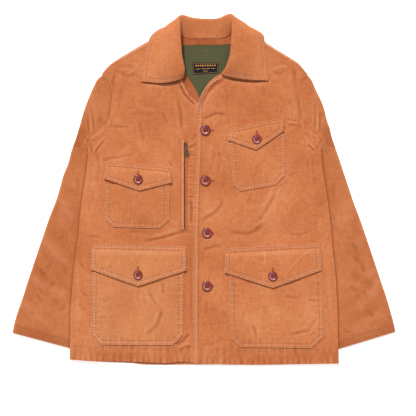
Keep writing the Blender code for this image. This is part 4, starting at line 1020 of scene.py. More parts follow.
olive_poplin = plain_stuff(
    "cotton poplin, olive", "#4A4D31", "#605D41", 700, 0.9, 0.15, sheen=0.04, gloss=0.12
)
navy_damask = plain_stuff("damask label, navy", "#14131C", "#211F2A", 900, 0.8, 0.1, gloss=0.15)
amber_thread = plain_stuff("amber label thread", "#C98A26", "#DFA23B", 1200, 0.6, 0.1)
seam_thread = plain_stuff("cotton thread, garment dyed", "#CB7F53", "#E09C6E", 900, 0.75, 0.1, sheen=0.1)
hole_thread = plain_stuff(
    "cotton thread of the buttonholes", "#9C5431", "#BC7047", 1500, 0.85, 0.2, gloss=0.15
)
# The resin's pale lip colour is a painted highlight.
resin = plain_stuff("polished resin, maroon", "#77201C", "#8F2F28", 160, 0.2, 0.01, lip="#DDAEA3", coat=0.2)
button_thread = plain_stuff("button thread", "#7A3D28", "#94523A", 1500, 0.8, 0.1)
bronze = plain_stuff("darkened bronze plating", "#66503E", "#927459", 500, 0.36, 0.03, metallic=1.0)
# The teeth are dark brass, and their near-black also paints the shade in the zip's slot.
teeth_metal_and_slot_shade = plain_stuff("zip teeth, dark brass, painted slot shade", "#3A241A", "#54382A", 900, 0.6, 0.02, gloss=0.2)
print("materials:", len(bpy.data.materials))

# %% [markdown]
# ## Back and fronts
#
# The back is cut in one piece and turns over the shoulders by a finger's breadth, which is the strip that
# shows above each shoulder seam. Each front runs from shoulder to hem. The wearer's left one closes over
# the right, so it lies higher along the placket.

# %% Fronts
ARMHOLE_SHARES = np.linspace(0, 1, 61)
ROWS_BELOW, NECK_ROWS = 200, 75
ARMPIT_Y = 104  # the back reaches a little further out here, below the end of the sleeve's seam


def side_line(armhole, side, shift):
    """The armhole and the side seam in one, moved in by the shift from the sleeve."""
    below = along(side, np.linspace(0, 1, ROWS_BELOW))[1:]
    return np.vstack([along(armhole, ARMHOLE_SHARES), below]) + [shift, 0]


def front(side, shoulder, armhole, seam, hem, neck, edge, edges, material, columns=140):
    """One front, as a patch between its shoulder seam, its hem, its side and its leading edge."""
    left = side_line(armhole, seam, 0.12 if side == "right" else -0.12)
    edge_shares = np.linspace(0, 1, len(left) - NECK_ROWS + 1)
    right = np.vstack([along(neck, np.linspace(0, 1, NECK_ROWS)), along(edge, edge_shares)[1:]])
    shares = np.linspace(0, 1, columns)
    top, bottom = along(shoulder, shares, curved=False), along(hem, shares, curved=False)
    top[0], top[-1], bottom[0], bottom[-1] = left[0], right[0], left[-1], right[-1]
    plan = coons(top, bottom, left, right)
    x, y = plan[..., 0], plan[..., 1]
    low = np.dstack([plan, front_under(x, y, side)])
    high = np.dstack([plan, front_over(x, y, side)])
    return cloth("cloth_front_" + side, low, high, material, edges, hem=hem), area_of(low)


front_right, area = front(
    "right", SHOULDER_RIGHT, ARMHOLE_RIGHT, SIDE_RIGHT, HEM_RIGHT, NECK_RIGHT, EDGE_RIGHT,
    [NECK_RIGHT[3:]], plain_canvas,
)
declare("front_right")
front_left, area = front(
    "left", SHOULDER_LEFT, ARMHOLE_LEFT, SIDE_LEFT, HEM_LEFT, NECK_LEFT, EDGE_LEFT,
    [NECK_LEFT[2:] + EDGE_LEFT[1:]], front_canvas,
)
declare("front_left")
print("left front:", round(area, 3), "square metres of canvas")

# %% Back


def back(columns=100, shoulders=30):
    """The back: its own patch below the seams, and six rows more for the turned strip above them."""
    left = side_line(ARMHOLE_RIGHT, SIDE_RIGHT, 0.3)[::2]
    right = side_line(ARMHOLE_LEFT, SIDE_LEFT, -0.3)[::2]
    for line, way in ((left, -1), (right, 1)):
        line[:, 0] += way * 5.2 * bell(line[:, 1] - ARMPIT_Y, 12)
    shares = np.linspace(0, 1, shoulders + 1)
    right_seam = along(SHOULDER_RIGHT, shares[:-1], curved=False)
    left_seam = along(SHOULDER_LEFT[::-1], shares[1:], curved=False)
    seam = np.vstack([right_seam, along(NECK_BACK, np.linspace(0, 1, columns - 2 * shoulders)), left_seam])
    neck = parallel(seam, 4.0)[shoulders:-shoulders]
    turn = np.vstack([along(TURN_RIGHT, shares[:-1]), neck, along(TURN_LEFT[::-1], shares[1:])])
    inner = parallel(seam, 0.5)
    turn[shoulders], turn[-shoulders - 1] = inner[shoulders] + [0, 2], inner[-shoulders - 1] + [0, 2]
    inner[0], inner[-1] = left[0] + [-0.25, 0.5], right[0] + [0.25, 0.5]
    left[0], right[0] = inner[0], inner[-1]
    bottom = along(HEM_BACK, np.linspace(0, 1, columns), curved=False)
    bottom[0], bottom[-1] = left[-1], right[-1]
    panel = coons(inner, bottom, left, right)
    steps = [turn + t * (inner - turn) for t in (0, 0.15, 0.35, 0.6, 0.85, 0.95)]
    plan = np.concatenate([np.array(steps), panel])
    x, y = plan[..., 0], plan[..., 1]
    under = floor_rise(x, y)
    upper = under + CANVAS
    turned = np.ones(columns, bool)
    turned[shoulders + 1 : -shoulders - 1] = False
    for row, top in enumerate((2.6, 3.6, 4.3, 4.6, 4.5, 4.3)):
        upper[row, turned] = top
        upper[row, turned] += 0.25 * uneven(x[row, turned], 31)
    return np.dstack([plan, under]), np.dstack([plan, upper])


low, high = back()
cloth_back = cloth("cloth_back", low, high, plain_canvas, [TURN_RIGHT, TURN_LEFT, HEM_BACK])
declare("back_panel")
print("back:", round(area_of(low), 3), "square metres of canvas")

# %% [markdown]
# ## Sleeves
#
# A sleeve is a tube pressed flat, so each of its sections is a long thin loop: out along the lower layer,
# round the outer fold, and back along the upper layer. Above the armpit the loop stays open, because there
# the sleeve is sewn to the body. Below it, the loop closes in an inner fold, which slips under the body.

# %% Sleeves
SLEEVE_WALL = 1.3  # the cloth of the tube
FOLD_REACH = 3.2  # how far from a fold the tube is fully open
FURTHER_IN = 3.6  # how much further the inner fold goes below the body near the armpit


def fold_shape(away):
    """How far two layers are apart beside a fold: a quarter circle."""
    return np.sqrt(np.clip(1 - (1 - np.clip(away / FOLD_REACH, 0, 1)) ** 2, 0, 1))


def sleeve(side, cap, armhole, sections, steps=44):
    """A ladder of such loops. Near a fold, the two layers close as a half circle does."""
    outwards = -0.12 if side == "right" else 0.12
    seams = len(ARMHOLE_SHARES) - 1
    seam_line = along(armhole, ARMHOLE_SHARES)[:-1] + [outwards, 0]
    table = rounded(np.array(sections, float), steps=9)
    place = np.arange(len(table))
    table[:, 2] -= np.sign(outwards) * FURTHER_IN * smooth(place / 5) * smooth((30 - place) / 8)
    outer = np.vstack([along(cap, ARMHOLE_SHARES)[:-1], table[:, 0:2]])
    inner = np.vstack([seam_line, table[:, 2:4]])
    inner[seams] += [outwards, 0]
    rise = np.concatenate([floor_rise(seam_line[:, 0], seam_line[:, 1]), np.clip(table[:, 4], 0, 4.4)])
    front_height = lie(inner[:, 0], inner[:, 1], side) + CANVAS - rise
    closed = np.arange(len(outer)) >= seams
    loft = np.where(np.arange(len(outer)) <= seams, front_height, SLEEVE_LOFT)
    width = np.linalg.norm(inner - outer, axis=1)

    def skin(inset):
        """The tube's outside, or its inside where it is inset by the cloth's thickness."""
        near = 0.8 * SLEEVE_LOFT * (1 - np.cos(np.linspace(0.3, math.pi / 2, 5))) + 0.8 * inset
        first = np.minimum(near[-1] + 2, 0.4 * width)[:, None]
        last = np.where(closed, width - 4.0 - inset, width)[:, None]
        by_fold = np.minimum(near[None], first * np.linspace(0.1, 0.9, 5))
        reach_in = np.hstack([by_fold, first + (last - first) * np.linspace(0, 1, steps)])
        end = np.where(closed, width - inset, width)[:, None]
        fold = np.full((len(width), 1), inset)
        share = np.hstack([reach_in[:, ::-1], fold, reach_in, end]) / width[:, None]
        plan = outer[:, None] + share[..., None] * (inner - outer)[:, None]
        x, y = plan[..., 0], plan[..., 1]
        from_inner = np.where(closed[:, None], (1 - share) * width[:, None], FAR)
        pinch = np.minimum(fold_shape(share * width[:, None]), np.maximum(fold_shape(from_inner), 0.25))
        low = rise[:, None] * smooth(share)
        level = low + SLEEVE_LOFT + (loft - SLEEVE_LOFT)[:, None] * share**2
        forms = folds(x, y, SLEEVE_FOLDS) + 0.75 * creases(x, y, SLEEVE_CREASES) + folds(x, y, SLEEVE_RIPPLES)
        from_row = distance(x, y, CUFFS[side]) - CUFF_ROW
        forms += 0.5 * smooth(1 - from_row / 3) - 0.35 * bell(from_row, 3)
        level += pinch * ((1 - over(x, y, BODY, 3, 16)) * forms + over(x, y, BODY, 1, 34) * creased(x, y))
        level -= 0.9 * pinch * bell(distance(x, y, armhole) - 3, 5) * ~closed[:, None]
        low, high = low + inset, level - inset
        middle = 0.5 * (low + high)
        low, high = middle + pinch * (low - middle), middle + pinch * (high - middle)
        count = steps + 5
        z = np.hstack([low[:, :count], middle[:, count : count + 1], high[:, count + 1 : -1], middle[:, -1:]])
        return np.dstack([plan, z])

    outside, inside_out = skin(0.0), skin(SLEEVE_WALL)
    x, y, z = np.moveaxis(outside, -1, 0)
    # Painted shade: where the tube lies below half its loft, at its folds and on its lower layer, it takes
    # the hollows' shade, and a line of painted shade runs where it slips under the body's side. The band at
    # the cuff is a deeper dye.
    shade_and_dye_relief = np.where(z > rise[:, None] + 0.5 * SLEEVE_LOFT, relief(z), -0.25)
    shade_and_dye_relief -= 0.3 * smooth(1 - (distance(x, y, CUFFS[side]) - 16) / 3)
    shade_and_dye_relief -= 0.6 * bell(distance(x, y, SIDE_RIGHT if side == "right" else SIDE_LEFT), 3.4)
    shade_and_dye_relief = np.concatenate([shade_and_dye_relief.ravel(), 0 * shade_and_dye_relief.ravel()])
    rows, columns = outside.shape[:2]
    first = np.arange(rows * columns).reshape(rows, columns)
    second = first + rows * columns
    cap_line = [columns - 2, columns - 1, 0]
    faces = [grid_faces(skin_number[:, :-1]) for skin_number in (first, second)]
    faces += [grid_faces(skin_number[seams:][:, cap_line]) for skin_number in (first, second)]
    for border in (np.s_[: seams + 1, 0], np.s_[: seams + 1, -2], np.s_[0, :-1], np.s_[seams, cap_line]):
        faces.append(strip(first[border], second[border]))
    faces.append(strip(np.append(first[-1], first[-1, 0]), np.append(second[-1], second[-1, 0])))
    faces = np.vstack(faces)
    used = np.unique(faces)
    renumber = np.zeros(2 * rows * columns, int)
    renumber[used] = np.arange(len(used))
    points = np.concatenate([outside.reshape(-1, 3), inside_out.reshape(-1, 3)])[used]
    slope = math.radians(70 if side == "left" else -70)
    turn = np.array([[math.cos(slope), -math.sin(slope)], [math.sin(slope), math.cos(slope)]])
    away, run = nearest(points[:, 0], points[:, 1], CUFFS[side])
    piece = surface(
        "cloth_sleeve_" + side, points, renumber[faces], sleeve_canvas, uv=points[:, :2] @ turn,
        numbers={"edge_mm": away, "hem_mm": away, "run_mm": run, "shade_and_dye_mm": shade_and_dye_relief[used]},
    )
    return piece, area_of(outside[:, :-1])


CUFFS = {
    "right": [SLEEVE_RIGHT[-1][0:2], SLEEVE_RIGHT[-1][2:4]],
    "left": [SLEEVE_LEFT[-1][0:2], SLEEVE_LEFT[-1][2:4]],
}
sleeve_right, area = sleeve("right", CAP_RIGHT, ARMHOLE_RIGHT, SLEEVE_RIGHT)
declare("sleeve_right")
sleeve_left, area = sleeve("left", CAP_LEFT, ARMHOLE_LEFT, SLEEVE_LEFT)
declare("sleeve_left")
print("a sleeve:", round(area, 3), "square metres, all round")

# %% [markdown]
# ## Collar and neck
#
# A shirt collar is one strip with a roll in it: it stands up from the neck seam, turns over at the roll
# line and falls outwards to its edge. Each section in the table gives those four places, and the surface
# passes smoothly through them. The hanger loop is a band of the same surface, moved off it.

# %% Collar


def collar_surface(rows, columns):
    """Smooth lines round the neck through each column of the table, then smooth sections across them."""
    sections = np.array(COLLAR, float)
    around = np.stack([along(sections[:, k], np.linspace(0, 1, rows)) for k in range(4)], axis=1)
    across = [rounded(section, steps=24) for section in around]
    return np.array([along(line, columns, curved=False) for line in across])


def normals(grid):
    """Unit normals: the cross product of the steps along the rows and the columns."""
    cross = np.cross(np.gradient(grid, axis=0), np.gradient(grid, axis=1))
    return cross / np.linalg.norm(cross, axis=-1, keepdims=True)


def outward(grid):
    """Normals turned so that those of the fall point up, away from the jacket."""
    out = normals(grid)
    return out * np.sign(np.mean(out[:30, -20:, 2]))


ROUND, ACROSS = 220, 60
middle = collar_surface(ROUND, np.linspace(0, 1, ACROSS))
out = outward(middle)
size = reach(middle[ROUND // 4])[-1]
run_across = np.array([reach(line) for line in middle])
to_edge = run_across[:, -1:] - run_across
round_run = reach(middle[:, -1])[:, None] * np.ones(ACROSS)
to_end = np.minimum(round_run, round_run[-1:] - round_run)
from_border = np.minimum(to_edge, np.where(run_across > 20, to_end, FAR))
wave = 0.35 * uneven(round_run, 26) * bell(to_edge, 18)
wave += 0.3 * uneven(run_across, 33, 2.0) * bell(to_end, 16)
crumple = 0.5 * uneven(round_run + 0.6 * run_across, 74)
crumple += 0.35 * uneven(run_across - 0.4 * round_run, 47, 1.0)
calm = smooth(to_edge / 40) * smooth(run_across / 30)
form = middle + out * (wave + crumple * calm)[..., None]
ridge = 0.25 * smooth(1 - from_border / 3.0)
collar_high, collar_out = form + out * (DOUBLE / 2 + ridge)[..., None], out
flat = np.dstack([round_run, run_across])
numbers = {"edge_mm": from_border, "run_mm": round_run + run_across}
collar = wall("cloth_collar", form - out * (DOUBLE / 2), collar_high, collar_canvas, flat, numbers)
declare("collar")
print("collar:", round(area_of(form), 4), "square metres; fall about", round(size), "mm across its section")

# %% Hanger loop


def collar_band(name, span, share, thick, material):
    """A band on the collar's inner face, of the collar's own points moved along their normals."""
    fine = collar_surface(521, np.linspace(*share, 14))
    keep = np.abs(fine[:, 0, 0] - sum(span) / 2) <= (span[1] - span[0]) / 2
    fine = fine[keep & (fine[:, 0, 1] > 330)]
    off = normals(fine)
    off = off * np.sign(off[..., 2:])
    start = DOUBLE / 2 + SEAM + 0.1
    across = np.array([reach(line) for line in fine])
    along_it = reach(fine[:, 0])[:, None] * np.ones(fine.shape[1])
    near = np.minimum(across, across[:, -1:] - across)
    near = np.minimum(near, np.minimum(along_it, along_it[-1:] - along_it))
    numbers, flat = {"edge_mm": near, "run_mm": along_it}, np.dstack([along_it, across])
    piece = wall(name, fine + off * start, fine + off * (start + thick), material, flat, numbers)
    return piece, area_of(fine)


hanger, area = collar_band("cloth_hanger_loop", HANGER_SPAN, (0.03, 0.155), THIN, loop_canvas)
declare("hanger_loop")
print("hanger loop:", round(area * 1e4, 1), "square centimetres")

# %% Lining, facing and label
BASE = CANVAS + SEAM
LABEL_BASE, LABEL_THICK = BASE + THIN + SEAM, 0.8
LABEL_TOP = LABEL_BASE + LABEL_THICK


def level(name, plan, base, thick, material):
    """A piece that lies level on the back, with the faintest ripple."""
    x, y = plan[..., 0], plan[..., 1]
    top = base + thick + 0.08 * uneven(x + 0.5 * y, 41) + 0.06 * uneven(y, 23, 2.0)
    low, high = np.dstack([plan, np.full(x.shape, base)]), np.dstack([plan, top])
    return cloth(name, low, high, material, []), area_of(low)


shares = np.linspace(0, 1, 40)
right, left = along(LINING_RIGHT, shares), along(LINING_LEFT, shares)
plan = coons(along(LINING_TOP, shares, curved=False), along([right[-1], left[-1]], shares), right, left)
lining, area = level("cloth_lining", plan, BASE, THIN, olive_poplin)
declare("lining")
inner = np.vstack([along(FACING_BOTTOM, shares[:-1], curved=False), parallel(right, -0.6)])
outer = np.vstack([along(FACING_TOP, shares[:-1]), along(FACING_OUTER, shares)])
plan = inner[:, None] + np.linspace(0, 1, 10)[None, :, None] * (outer - inner)[:, None]
facing, area = level("cloth_neck_facing", plan, BASE, THIN, facing_canvas)
declare("neck_facing")
corners = np.array(LABEL, float)
edge_left, edge_right = along([corners[0], corners[3]], shares), along([corners[1], corners[2]], shares)
plan = coons(along(corners[:2], shares), along([corners[3], corners[2]], shares), edge_left, edge_right)
label, area = level("cloth_neck_label", plan, LABEL_BASE, LABEL_THICK, navy_damask)
declare("neck_label")
print("label:", round(area * 1e4, 1), "square centimetres")

# %% [markdown]
# The woven label is damask: its border, its rules and its row of chevrons are amber weft floats. They are
# drawn as thin raised bands, flat strips that follow a line, and they say nothing. Below the hanger loop a
# small square of the facing is doubled.

# %% Label's woven ornament and the doubled square


def woven(name, lines, width, base, tall, material):
    """Flat strips along lines: each is moved half its width to both sides, then given its wall."""
    points, faces, start = [], [], 0
    for line in lines:
        left, right = parallel(line, width / 2), parallel(line, -width / 2)
        count = len(line)
        ring = np.concatenate([left, right[::-1]])
        for z in (base, base + tall):
            points.append(np.column_stack([ring, np.full(len(ring), z)]))
        a, b = np.arange(count), np.arange(2 * count - 1, count - 1, -1)
        low, high = start, start + 2 * count
        loop = np.append(np.arange(2 * count), 0)
        faces += [strip(a + low, b + low), strip(a + high, b + high), strip(loop + low, loop + high)]
        start += 4 * count
    piece = surface(name, np.concatenate(points), np.vstack(faces), material, crease=50)
    return piece


def on_label(u, v):
    """A place on the label: u across and v down, from 0 to 1, mixed between its corners."""
    a, b, c, d = corners
    return (1 - v) * ((1 - u) * a + u * b) + v * ((1 - u) * d + u * c)


def dashes(marks, v):
    """Short rules in one row across the label."""
    return [np.array([on_label(u, v) for u in np.linspace(*mark, 12)]) for mark in marks]


def chevrons(places, v, wide, tall):
    """A row of small open arrowheads, each one bent line."""
    return [
        np.array([on_label(u - wide, v + tall), on_label(u, v), on_label(u + wide, v + tall)]) for u in places
    ]


bold = chevrons(np.linspace(0.14, 0.86, 9), 0.2, 0.03, 0.12)
bold += dashes([(0.36, 0.46), (0.49, 0.53), (0.56, 0.66)], 0.54)
fine_lines = dashes([(0.12, 0.3), (0.72, 0.88)], 0.55) + dashes([(0.4, 0.6)], 0.76)
edge_of_label = [on_label(u, v) for u, v in ((0.03, 0.07), (0.97, 0.07), (0.97, 0.93), (0.03, 0.93))]
border_lines = [np.array([edge_of_label[k], edge_of_label[(k + 1) % 4]]) for k in range(4)]
woven("amber_label_weave", bold, 1.3, LABEL_TOP, 0.3, amber_thread)
woven("amber_label_rules", fine_lines, 0.9, LABEL_TOP, 0.25, amber_thread)
woven("amber_label_border", border_lines, 0.35, LABEL_TOP, 0.2, amber_thread)
down, across = np.linspace(0, 1, 16)[:, None, None], np.linspace(0, 1, 24)[None, :, None]
plan = np.array([-20.0, 340.0]) + across * [48.0, 0] + down * [0, -14.5]
low = np.dstack([plan, np.full(plan.shape[:2], BASE + THIN + 0.1)])
high = low + [0, 0, 0.7]
patch = cloth("cloth_facing_square", low, high, square_canvas, [])
ring = np.linspace(0, 2 * math.pi, 12, endpoint=False)
for number, (x, y, up) in enumerate([(-1.5, 331.5, 0.9), (4, 312, 0.1)], start=1):
    line = np.column_stack([x + 1.3 * np.cos(ring), y + 1.3 * np.sin(ring)])
    woven(f"bartack_dot_{number}", [line], 1.1, BASE + THIN + up, 0.35, hole_thread)
print("label bands:", len(bold) + len(fine_lines) + len(border_lines))

# %% [markdown]
# ## Pockets and flaps
#
# A patch pocket is sewn down on three sides and swells a little in the middle. Its flap is sewn along the
# top only, so it steps over the pocket's edge and its point lifts off. Both are made from the front's own
# height, moved up, so they follow every fold beneath them.

# %% Patch pockets


def patch_plan(top, bottom, columns, rows):
    """The plan grid of a pocket or flap, with a column at each corner of its bottom line."""
    shares = cornered(bottom, columns)
    upper, lower = along(top, shares), along(bottom, shares, curved=False)
    ends = np.linspace(0, 1, rows)
    left, right = along([upper[0], lower[0]], ends), along([upper[-1], lower[-1]], ends)
    return coons(upper, lower, left, right)


def round_of(top, bottom):
    """The sewn line of a piece: down one side, along its bottom and up the other side."""
    return [top[0]] + bottom + [top[1]]


def pocket_under(x, y, spec):
    """A pocket's underside: the front's face, a seam's gap, a swell away from the seams, and puckers."""
    border = round_of(spec["top"], spec["bottom"])
    away = distance(x, y, border)
    swell = 0.9 * smooth(away / 38)
    swell += 0.55 * np.clip(puckers(x, y, border, 13, 14), -0.3, 1) * smooth(away / 5)
    swell += 0.4 * uneven(x + 0.3 * y, 83, 1.0) * smooth(away / 30)
    raised = front_over(x, y, spec["front"]) + SEAM + 0.25
    return raised + np.maximum(swell + creases(x, y, POCKET_CREASES[spec["name"]]), 0)


def edge_ridge(x, y, border):
    """1 along a sewn border, where the cloth is turned in, and 0 further in."""
    return smooth(1 - (distance(x, y, border) - 2.5) / 2)


def pocket_thick(x, y, spec):
    """A pocket's thickness, with the ridge of its turned edge."""
    return CANVAS + 0.35 * edge_ridge(x, y, round_of(spec["top"], spec["bottom"]))


# Creases of each pocket and each flap: line, half width and rise.
POCKET_CREASES = {
    "lower_right": [
        ([(-92, -210), (-92, -235)], 3.6, -0.7), ([(-124, -231), (-115, -246), (-108, -260)], 3.4, -0.6),
        ([(-96, -269), (-97, -282), (-104, -303), (-115, -316), (-130, -325)], 3.6, -1.2),
        ([(-106, -276), (-112, -298), (-122, -312)], 4, 0.5),
        ([(-232, -246), (-220, -251), (-209, -242)], 2.9, -0.5), ([(-234, -287), (-218, -287)], 2.2, -0.5),
        ([(-232, -264), (-218, -269)], 2.2, -0.4), ([(-234, -307), (-225, -309)], 2.2, -0.4),
        ([(-148, -226), (-148, -255)], 2.9, -0.3), ([(-128, -226), (-124, -260)], 3.6, 0.3),
    ],
    "lower_left": [
        ([(254, -289), (243, -305), (234, -318), (216, -321), (194, -327)], 3.4, -1.1),
        ([(232, -307), (216, -314)], 3.4, 0.4), ([(110, -305), (115, -318), (117, -330)], 3.1, -0.9),
        ([(182, -240), (209, -244), (220, -240)], 3.6, -0.6), ([(236, -249), (252, -249)], 2.2, -0.5),
        ([(88, -226), (90, -249)], 4.5, -0.4), ([(86, -276), (90, -289)], 4, -0.4),
        ([(135, -260), (140, -285)], 5.6, -0.4), ([(238, -327), (256, -321)], 2.2, -0.6),
    ],
    "chest_left": [
        ([(146, 84), (135, 64), (122, 39), (112, 12)], 7.2, -1), ([(153, 71), (148, 48)], 5.6, 0.4),
        ([(94, -1), (97, 17)], 3.6, -0.3),
    ],
    "chest_right": [
        ([(-164, -37), (-164, -60)], 2.9, -0.4), ([(-110, -53), (-99, -51)], 2.7, -0.4),
        ([(-200, -35), (-194, -51)], 3.6, 0.3),
    ],
}
FLAP_CREASES = {
    "lower_right": [
        ([(-194, -150), (-202, -163), (-214, -177)], 5, -0.7),
        ([(-99, -141), (-81, -133), (-61, -136)], 2.7, -0.7), ([(-104, -152), (-108, -163)], 4.5, -0.5),
        ([(-68, -168), (-72, -177)], 2.9, -0.4),
    ],
    "lower_left": [
        ([(83, -150), (84, -161)], 3.6, -0.6), ([(126, -145), (130, -161)], 3.6, -0.6),
        ([(137, -141), (137, -172)], 2.9, 0.6), ([(176, -150), (176, -170)], 4, -0.5),
        ([(180, -197), (198, -172), (220, -150), (241, -136)], 2.7, 0.6),
        ([(187, -168), (178, -183)], 2.7, -0.4),
        ([(54, -138), (81, -140), (110, -137), (126, -133)], 2.2, -0.5),
    ],
    "chest_left": [
        ([(137, 143), (133, 120), (128, 107)], 2.7, -0.8), ([(146, 138), (144, 120)], 4.5, 0.4),
        ([(164, 145), (166, 134)], 3.6, -0.6),
    ],
    "chest_right": [
        ([(-99, 26), (-92, 30)], 2.7, -0.4), ([(-194, 42), (-176, 35)], 3.6, -0.3),
    ],
}


def sew_on(node, name, plan, under, thick, border):
    """A pocket or flap from its plan and its heights."""
    low, high = np.dstack([plan, under]), np.dstack([plan, under + thick])
    canvas = pale_canvas if name == "lower_right" else sewn_canvas
    piece = cloth("cloth_" + node, low, high, canvas, [border])
    declare(node)


for name, spec in POCKETS.items():
    spec["name"] = name
    plan = patch_plan(spec["top"], spec["bottom"], 84, 84)
    x, y = plan[..., 0], plan[..., 1]
    under, thick = pocket_under(x, y, spec), pocket_thick(x, y, spec)
    border = round_of(spec["top"], spec["bottom"])
    sew_on("pocket_" + name, name, plan, under, thick, border)

# %% Flaps


def flap_under(x, y, spec):
    """A flap's underside: on the front at its seam, over the pocket, and lifted towards its free edge."""
    (x0, y0), (x1, y1) = spec["flap_top"]
    size = math.hypot(x1 - x0, y1 - y0)

    def below_seam(x, y):
        return np.abs((x - x0) * (y1 - y0) - (y - y0) * (x1 - x0)) / size

    hang = below_seam(x, y)
    step = (CANVAS + SEAM + 1.2) * smooth((hang - 3) / 18)
    mouth = np.mean([below_seam(*corner) for corner in spec["top"]])
    from_border = distance(x, y, round_of(spec["top"], spec["bottom"]))
    swollen = 0.9 * smooth(from_border / 38) * smooth((hang - mouth + 20) / 34)
    lift = 1.3 * (hang / 90) ** 2 + 0.5 * uneven(x, 67, 0.5) * smooth(hang / 25)
    curl = 0.7 * np.clip(puckers(x, y, spec["flap_bottom"], 52, 16, 2.0), -0.15, 1)
    marks = creases(x, y, FLAP_CREASES[spec["name"]]) * smooth(hang / 6)
    return front_over(x, y, spec["front"]) + SEAM + 0.15 + step + np.maximum(lift + curl + marks, 0) + swollen


def flap_thick(x, y, spec):
    """A flap's thickness: two layers, a ridge round its edge, and a dip at the seam's second row."""
    ridge = 0.3 * edge_ridge(x, y, round_of(spec["flap_top"], spec["flap_bottom"]))
    return DOUBLE + ridge - 0.5 * bell(distance(x, y, spec["flap_top"]) - TWO_ROWS[1], 1.6)


for name, spec in POCKETS.items():
    plan = patch_plan(spec["flap_top"], spec["flap_bottom"], 110, 44)
    x, y = plan[..., 0], plan[..., 1]
    under, thick = flap_under(x, y, spec), flap_thick(x, y, spec)
    border = round_of(spec["flap_top"], spec["flap_bottom"]) + spec["flap_top"][:1]
    sew_on("flap_" + name, name, plan, under, thick, border)

# %% [markdown]
# ## Stitching
#
# Lockstitch shows as a row of short ridges, one thread's width across, each sinking at both ends. One
# stitch is a small four-sided tube with narrow ends. All the stitches of a piece are worked out together,
# as one array from the starts and ends along a row. The real thread is 0.5 mm. It is drawn at 0.8 mm, so
# that a row still shows from above the table.

# %% Stitches


def stitch_points(line, up, pitch=3.4, length=2.5, width=0.8):
    """Corners of each stitch of one row: four rings along it, each ring a diamond."""
    at = reach(line)
    starts = np.arange(0.5 * pitch, at[-1] - length, pitch)
    ends = starts + length
    a = np.column_stack([np.interp(starts, at, line[:, k]) for k in range(3)])
    b = np.column_stack([np.interp(ends, at, line[:, k]) for k in range(3)])
    rise = np.column_stack([np.interp(starts + 0.5 * length, at, up[:, k]) for k in range(3)])
    ahead = (b - a) / np.linalg.norm(b - a, axis=1, keepdims=True)
    side = np.cross(rise, ahead)
    side = side / np.linalg.norm(side, axis=1, keepdims=True)
    rise = np.cross(ahead, side)
    t = np.array([0, 0.22, 0.78, 1])[None, :, None, None]
    fat = np.array([0.3, 1, 1, 0.3])[None, :, None, None] * width / 2
    lift = np.array([-0.22, 0.12, 0.12, -0.22])[None, :, None, None]
    turn = np.array([0, 0.5, 1, 1.5])[:, None] * math.pi
    ring = side[:, None, None] * np.cos(turn) + 0.8 * rise[:, None, None] * np.sin(turn)
    centre = a[:, None, None] + t * (b - a)[:, None, None] + lift * rise[:, None, None]
    return (centre + fat * ring).reshape(-1, 16, 3)


def stitches(name, rows, material):
    """Rows of stitches joined in one mesh, closed at both ends of each stitch."""
    points = np.concatenate([stitch_points(line, up) for line, up in rows])
    ring = np.arange(4)
    tube = np.vstack(
        [strip(np.append(ring + 4 * k, 4 * k), np.append(ring + 4 * k + 4, 4 * k + 4)) for k in range(3)]
        + [[[0, 1, 2, 3]], [[12, 15, 14, 13]]]
    )
    faces = (tube[None] + 16 * np.arange(len(points))[:, None, None]).reshape(-1, 4)
    piece = surface(name, points.reshape(-1, 3), faces, material, crease=180)
    return piece


def on_height(plan, height, proud=0.05):
    """A row laid on a height function: its points, with up from the height's own slope."""
    x, y = plan[:, 0], plan[:, 1]
    z = height(x, y)
    back_x = height(x - 0.5, y) - height(x + 0.5, y)
    back_y = height(x, y - 0.5) - height(x, y + 0.5)
    up = np.column_stack([back_x, back_y, np.ones(len(x))])
    up = up / np.linalg.norm(up, axis=1, keepdims=True)
    return np.column_stack([x, y, z + proud]), up


def left_face(x, y):
    """The upper face of the wearer's left front."""
    return front_over(x, y, "left")


def right_face(x, y):
    """The upper face of the wearer's right front."""
    return front_over(x, y, "right")


def beside(line, gaps, height, part=slice(None)):
    """Rows on a height, each a gap to the left of a line. Of each, the given part is sewn."""
    return [on_height(paced(parallel(line, gap), 3, curved=False)[part], height) for gap in gaps]


closing = rounded(NECK_LEFT[4:]).tolist() + EDGE_LEFT[1:-1] + [(-22.5, -391)]
rows = beside(closing, TWO_ROWS, left_face) + beside(HEM_LEFT, [-HEM_DEEP], left_face, slice(6, -3))
rows += beside([(61, -360), (61, -392)], [0], left_face)
stitches("stitches_front_left", rows, seam_thread)
rows = beside(HEM_RIGHT[:-2], [HEM_DEEP], right_face, slice(4, None))
rows += beside(rounded(NECK_RIGHT[3:9]), [-2.4], right_face)
stitches("stitches_front_right", rows, seam_thread)
print("stitches on the right front's hem:", len(stitch_points(*rows[0])))

# %% Stitches of pockets, flaps and collar
for name, spec in POCKETS.items():

    def pocket_face(x, y, spec=spec):
        """The upper face of this pocket."""
        return pocket_under(x, y, spec) + pocket_thick(x, y, spec)

    def flap_face(x, y, spec=spec):
        """The upper face of this flap."""
        return flap_under(x, y, spec) + flap_thick(x, y, spec)

    rows = beside(round_of(spec["top"], spec["bottom"]), TWO_ROWS, pocket_face)
    stitches("stitches_pocket_" + name, rows, seam_thread)
    rows = beside(round_of(spec["flap_top"], spec["flap_bottom"]), TWO_ROWS, flap_face)
    (x0, y0), (x1, y1) = spec["flap_top"]
    rows += beside([(x0 + 3, y0), (x1 - 3, y1)], [-gap for gap in TWO_ROWS], flap_face)
    stitches("stitches_flap_" + name, rows, seam_thread)


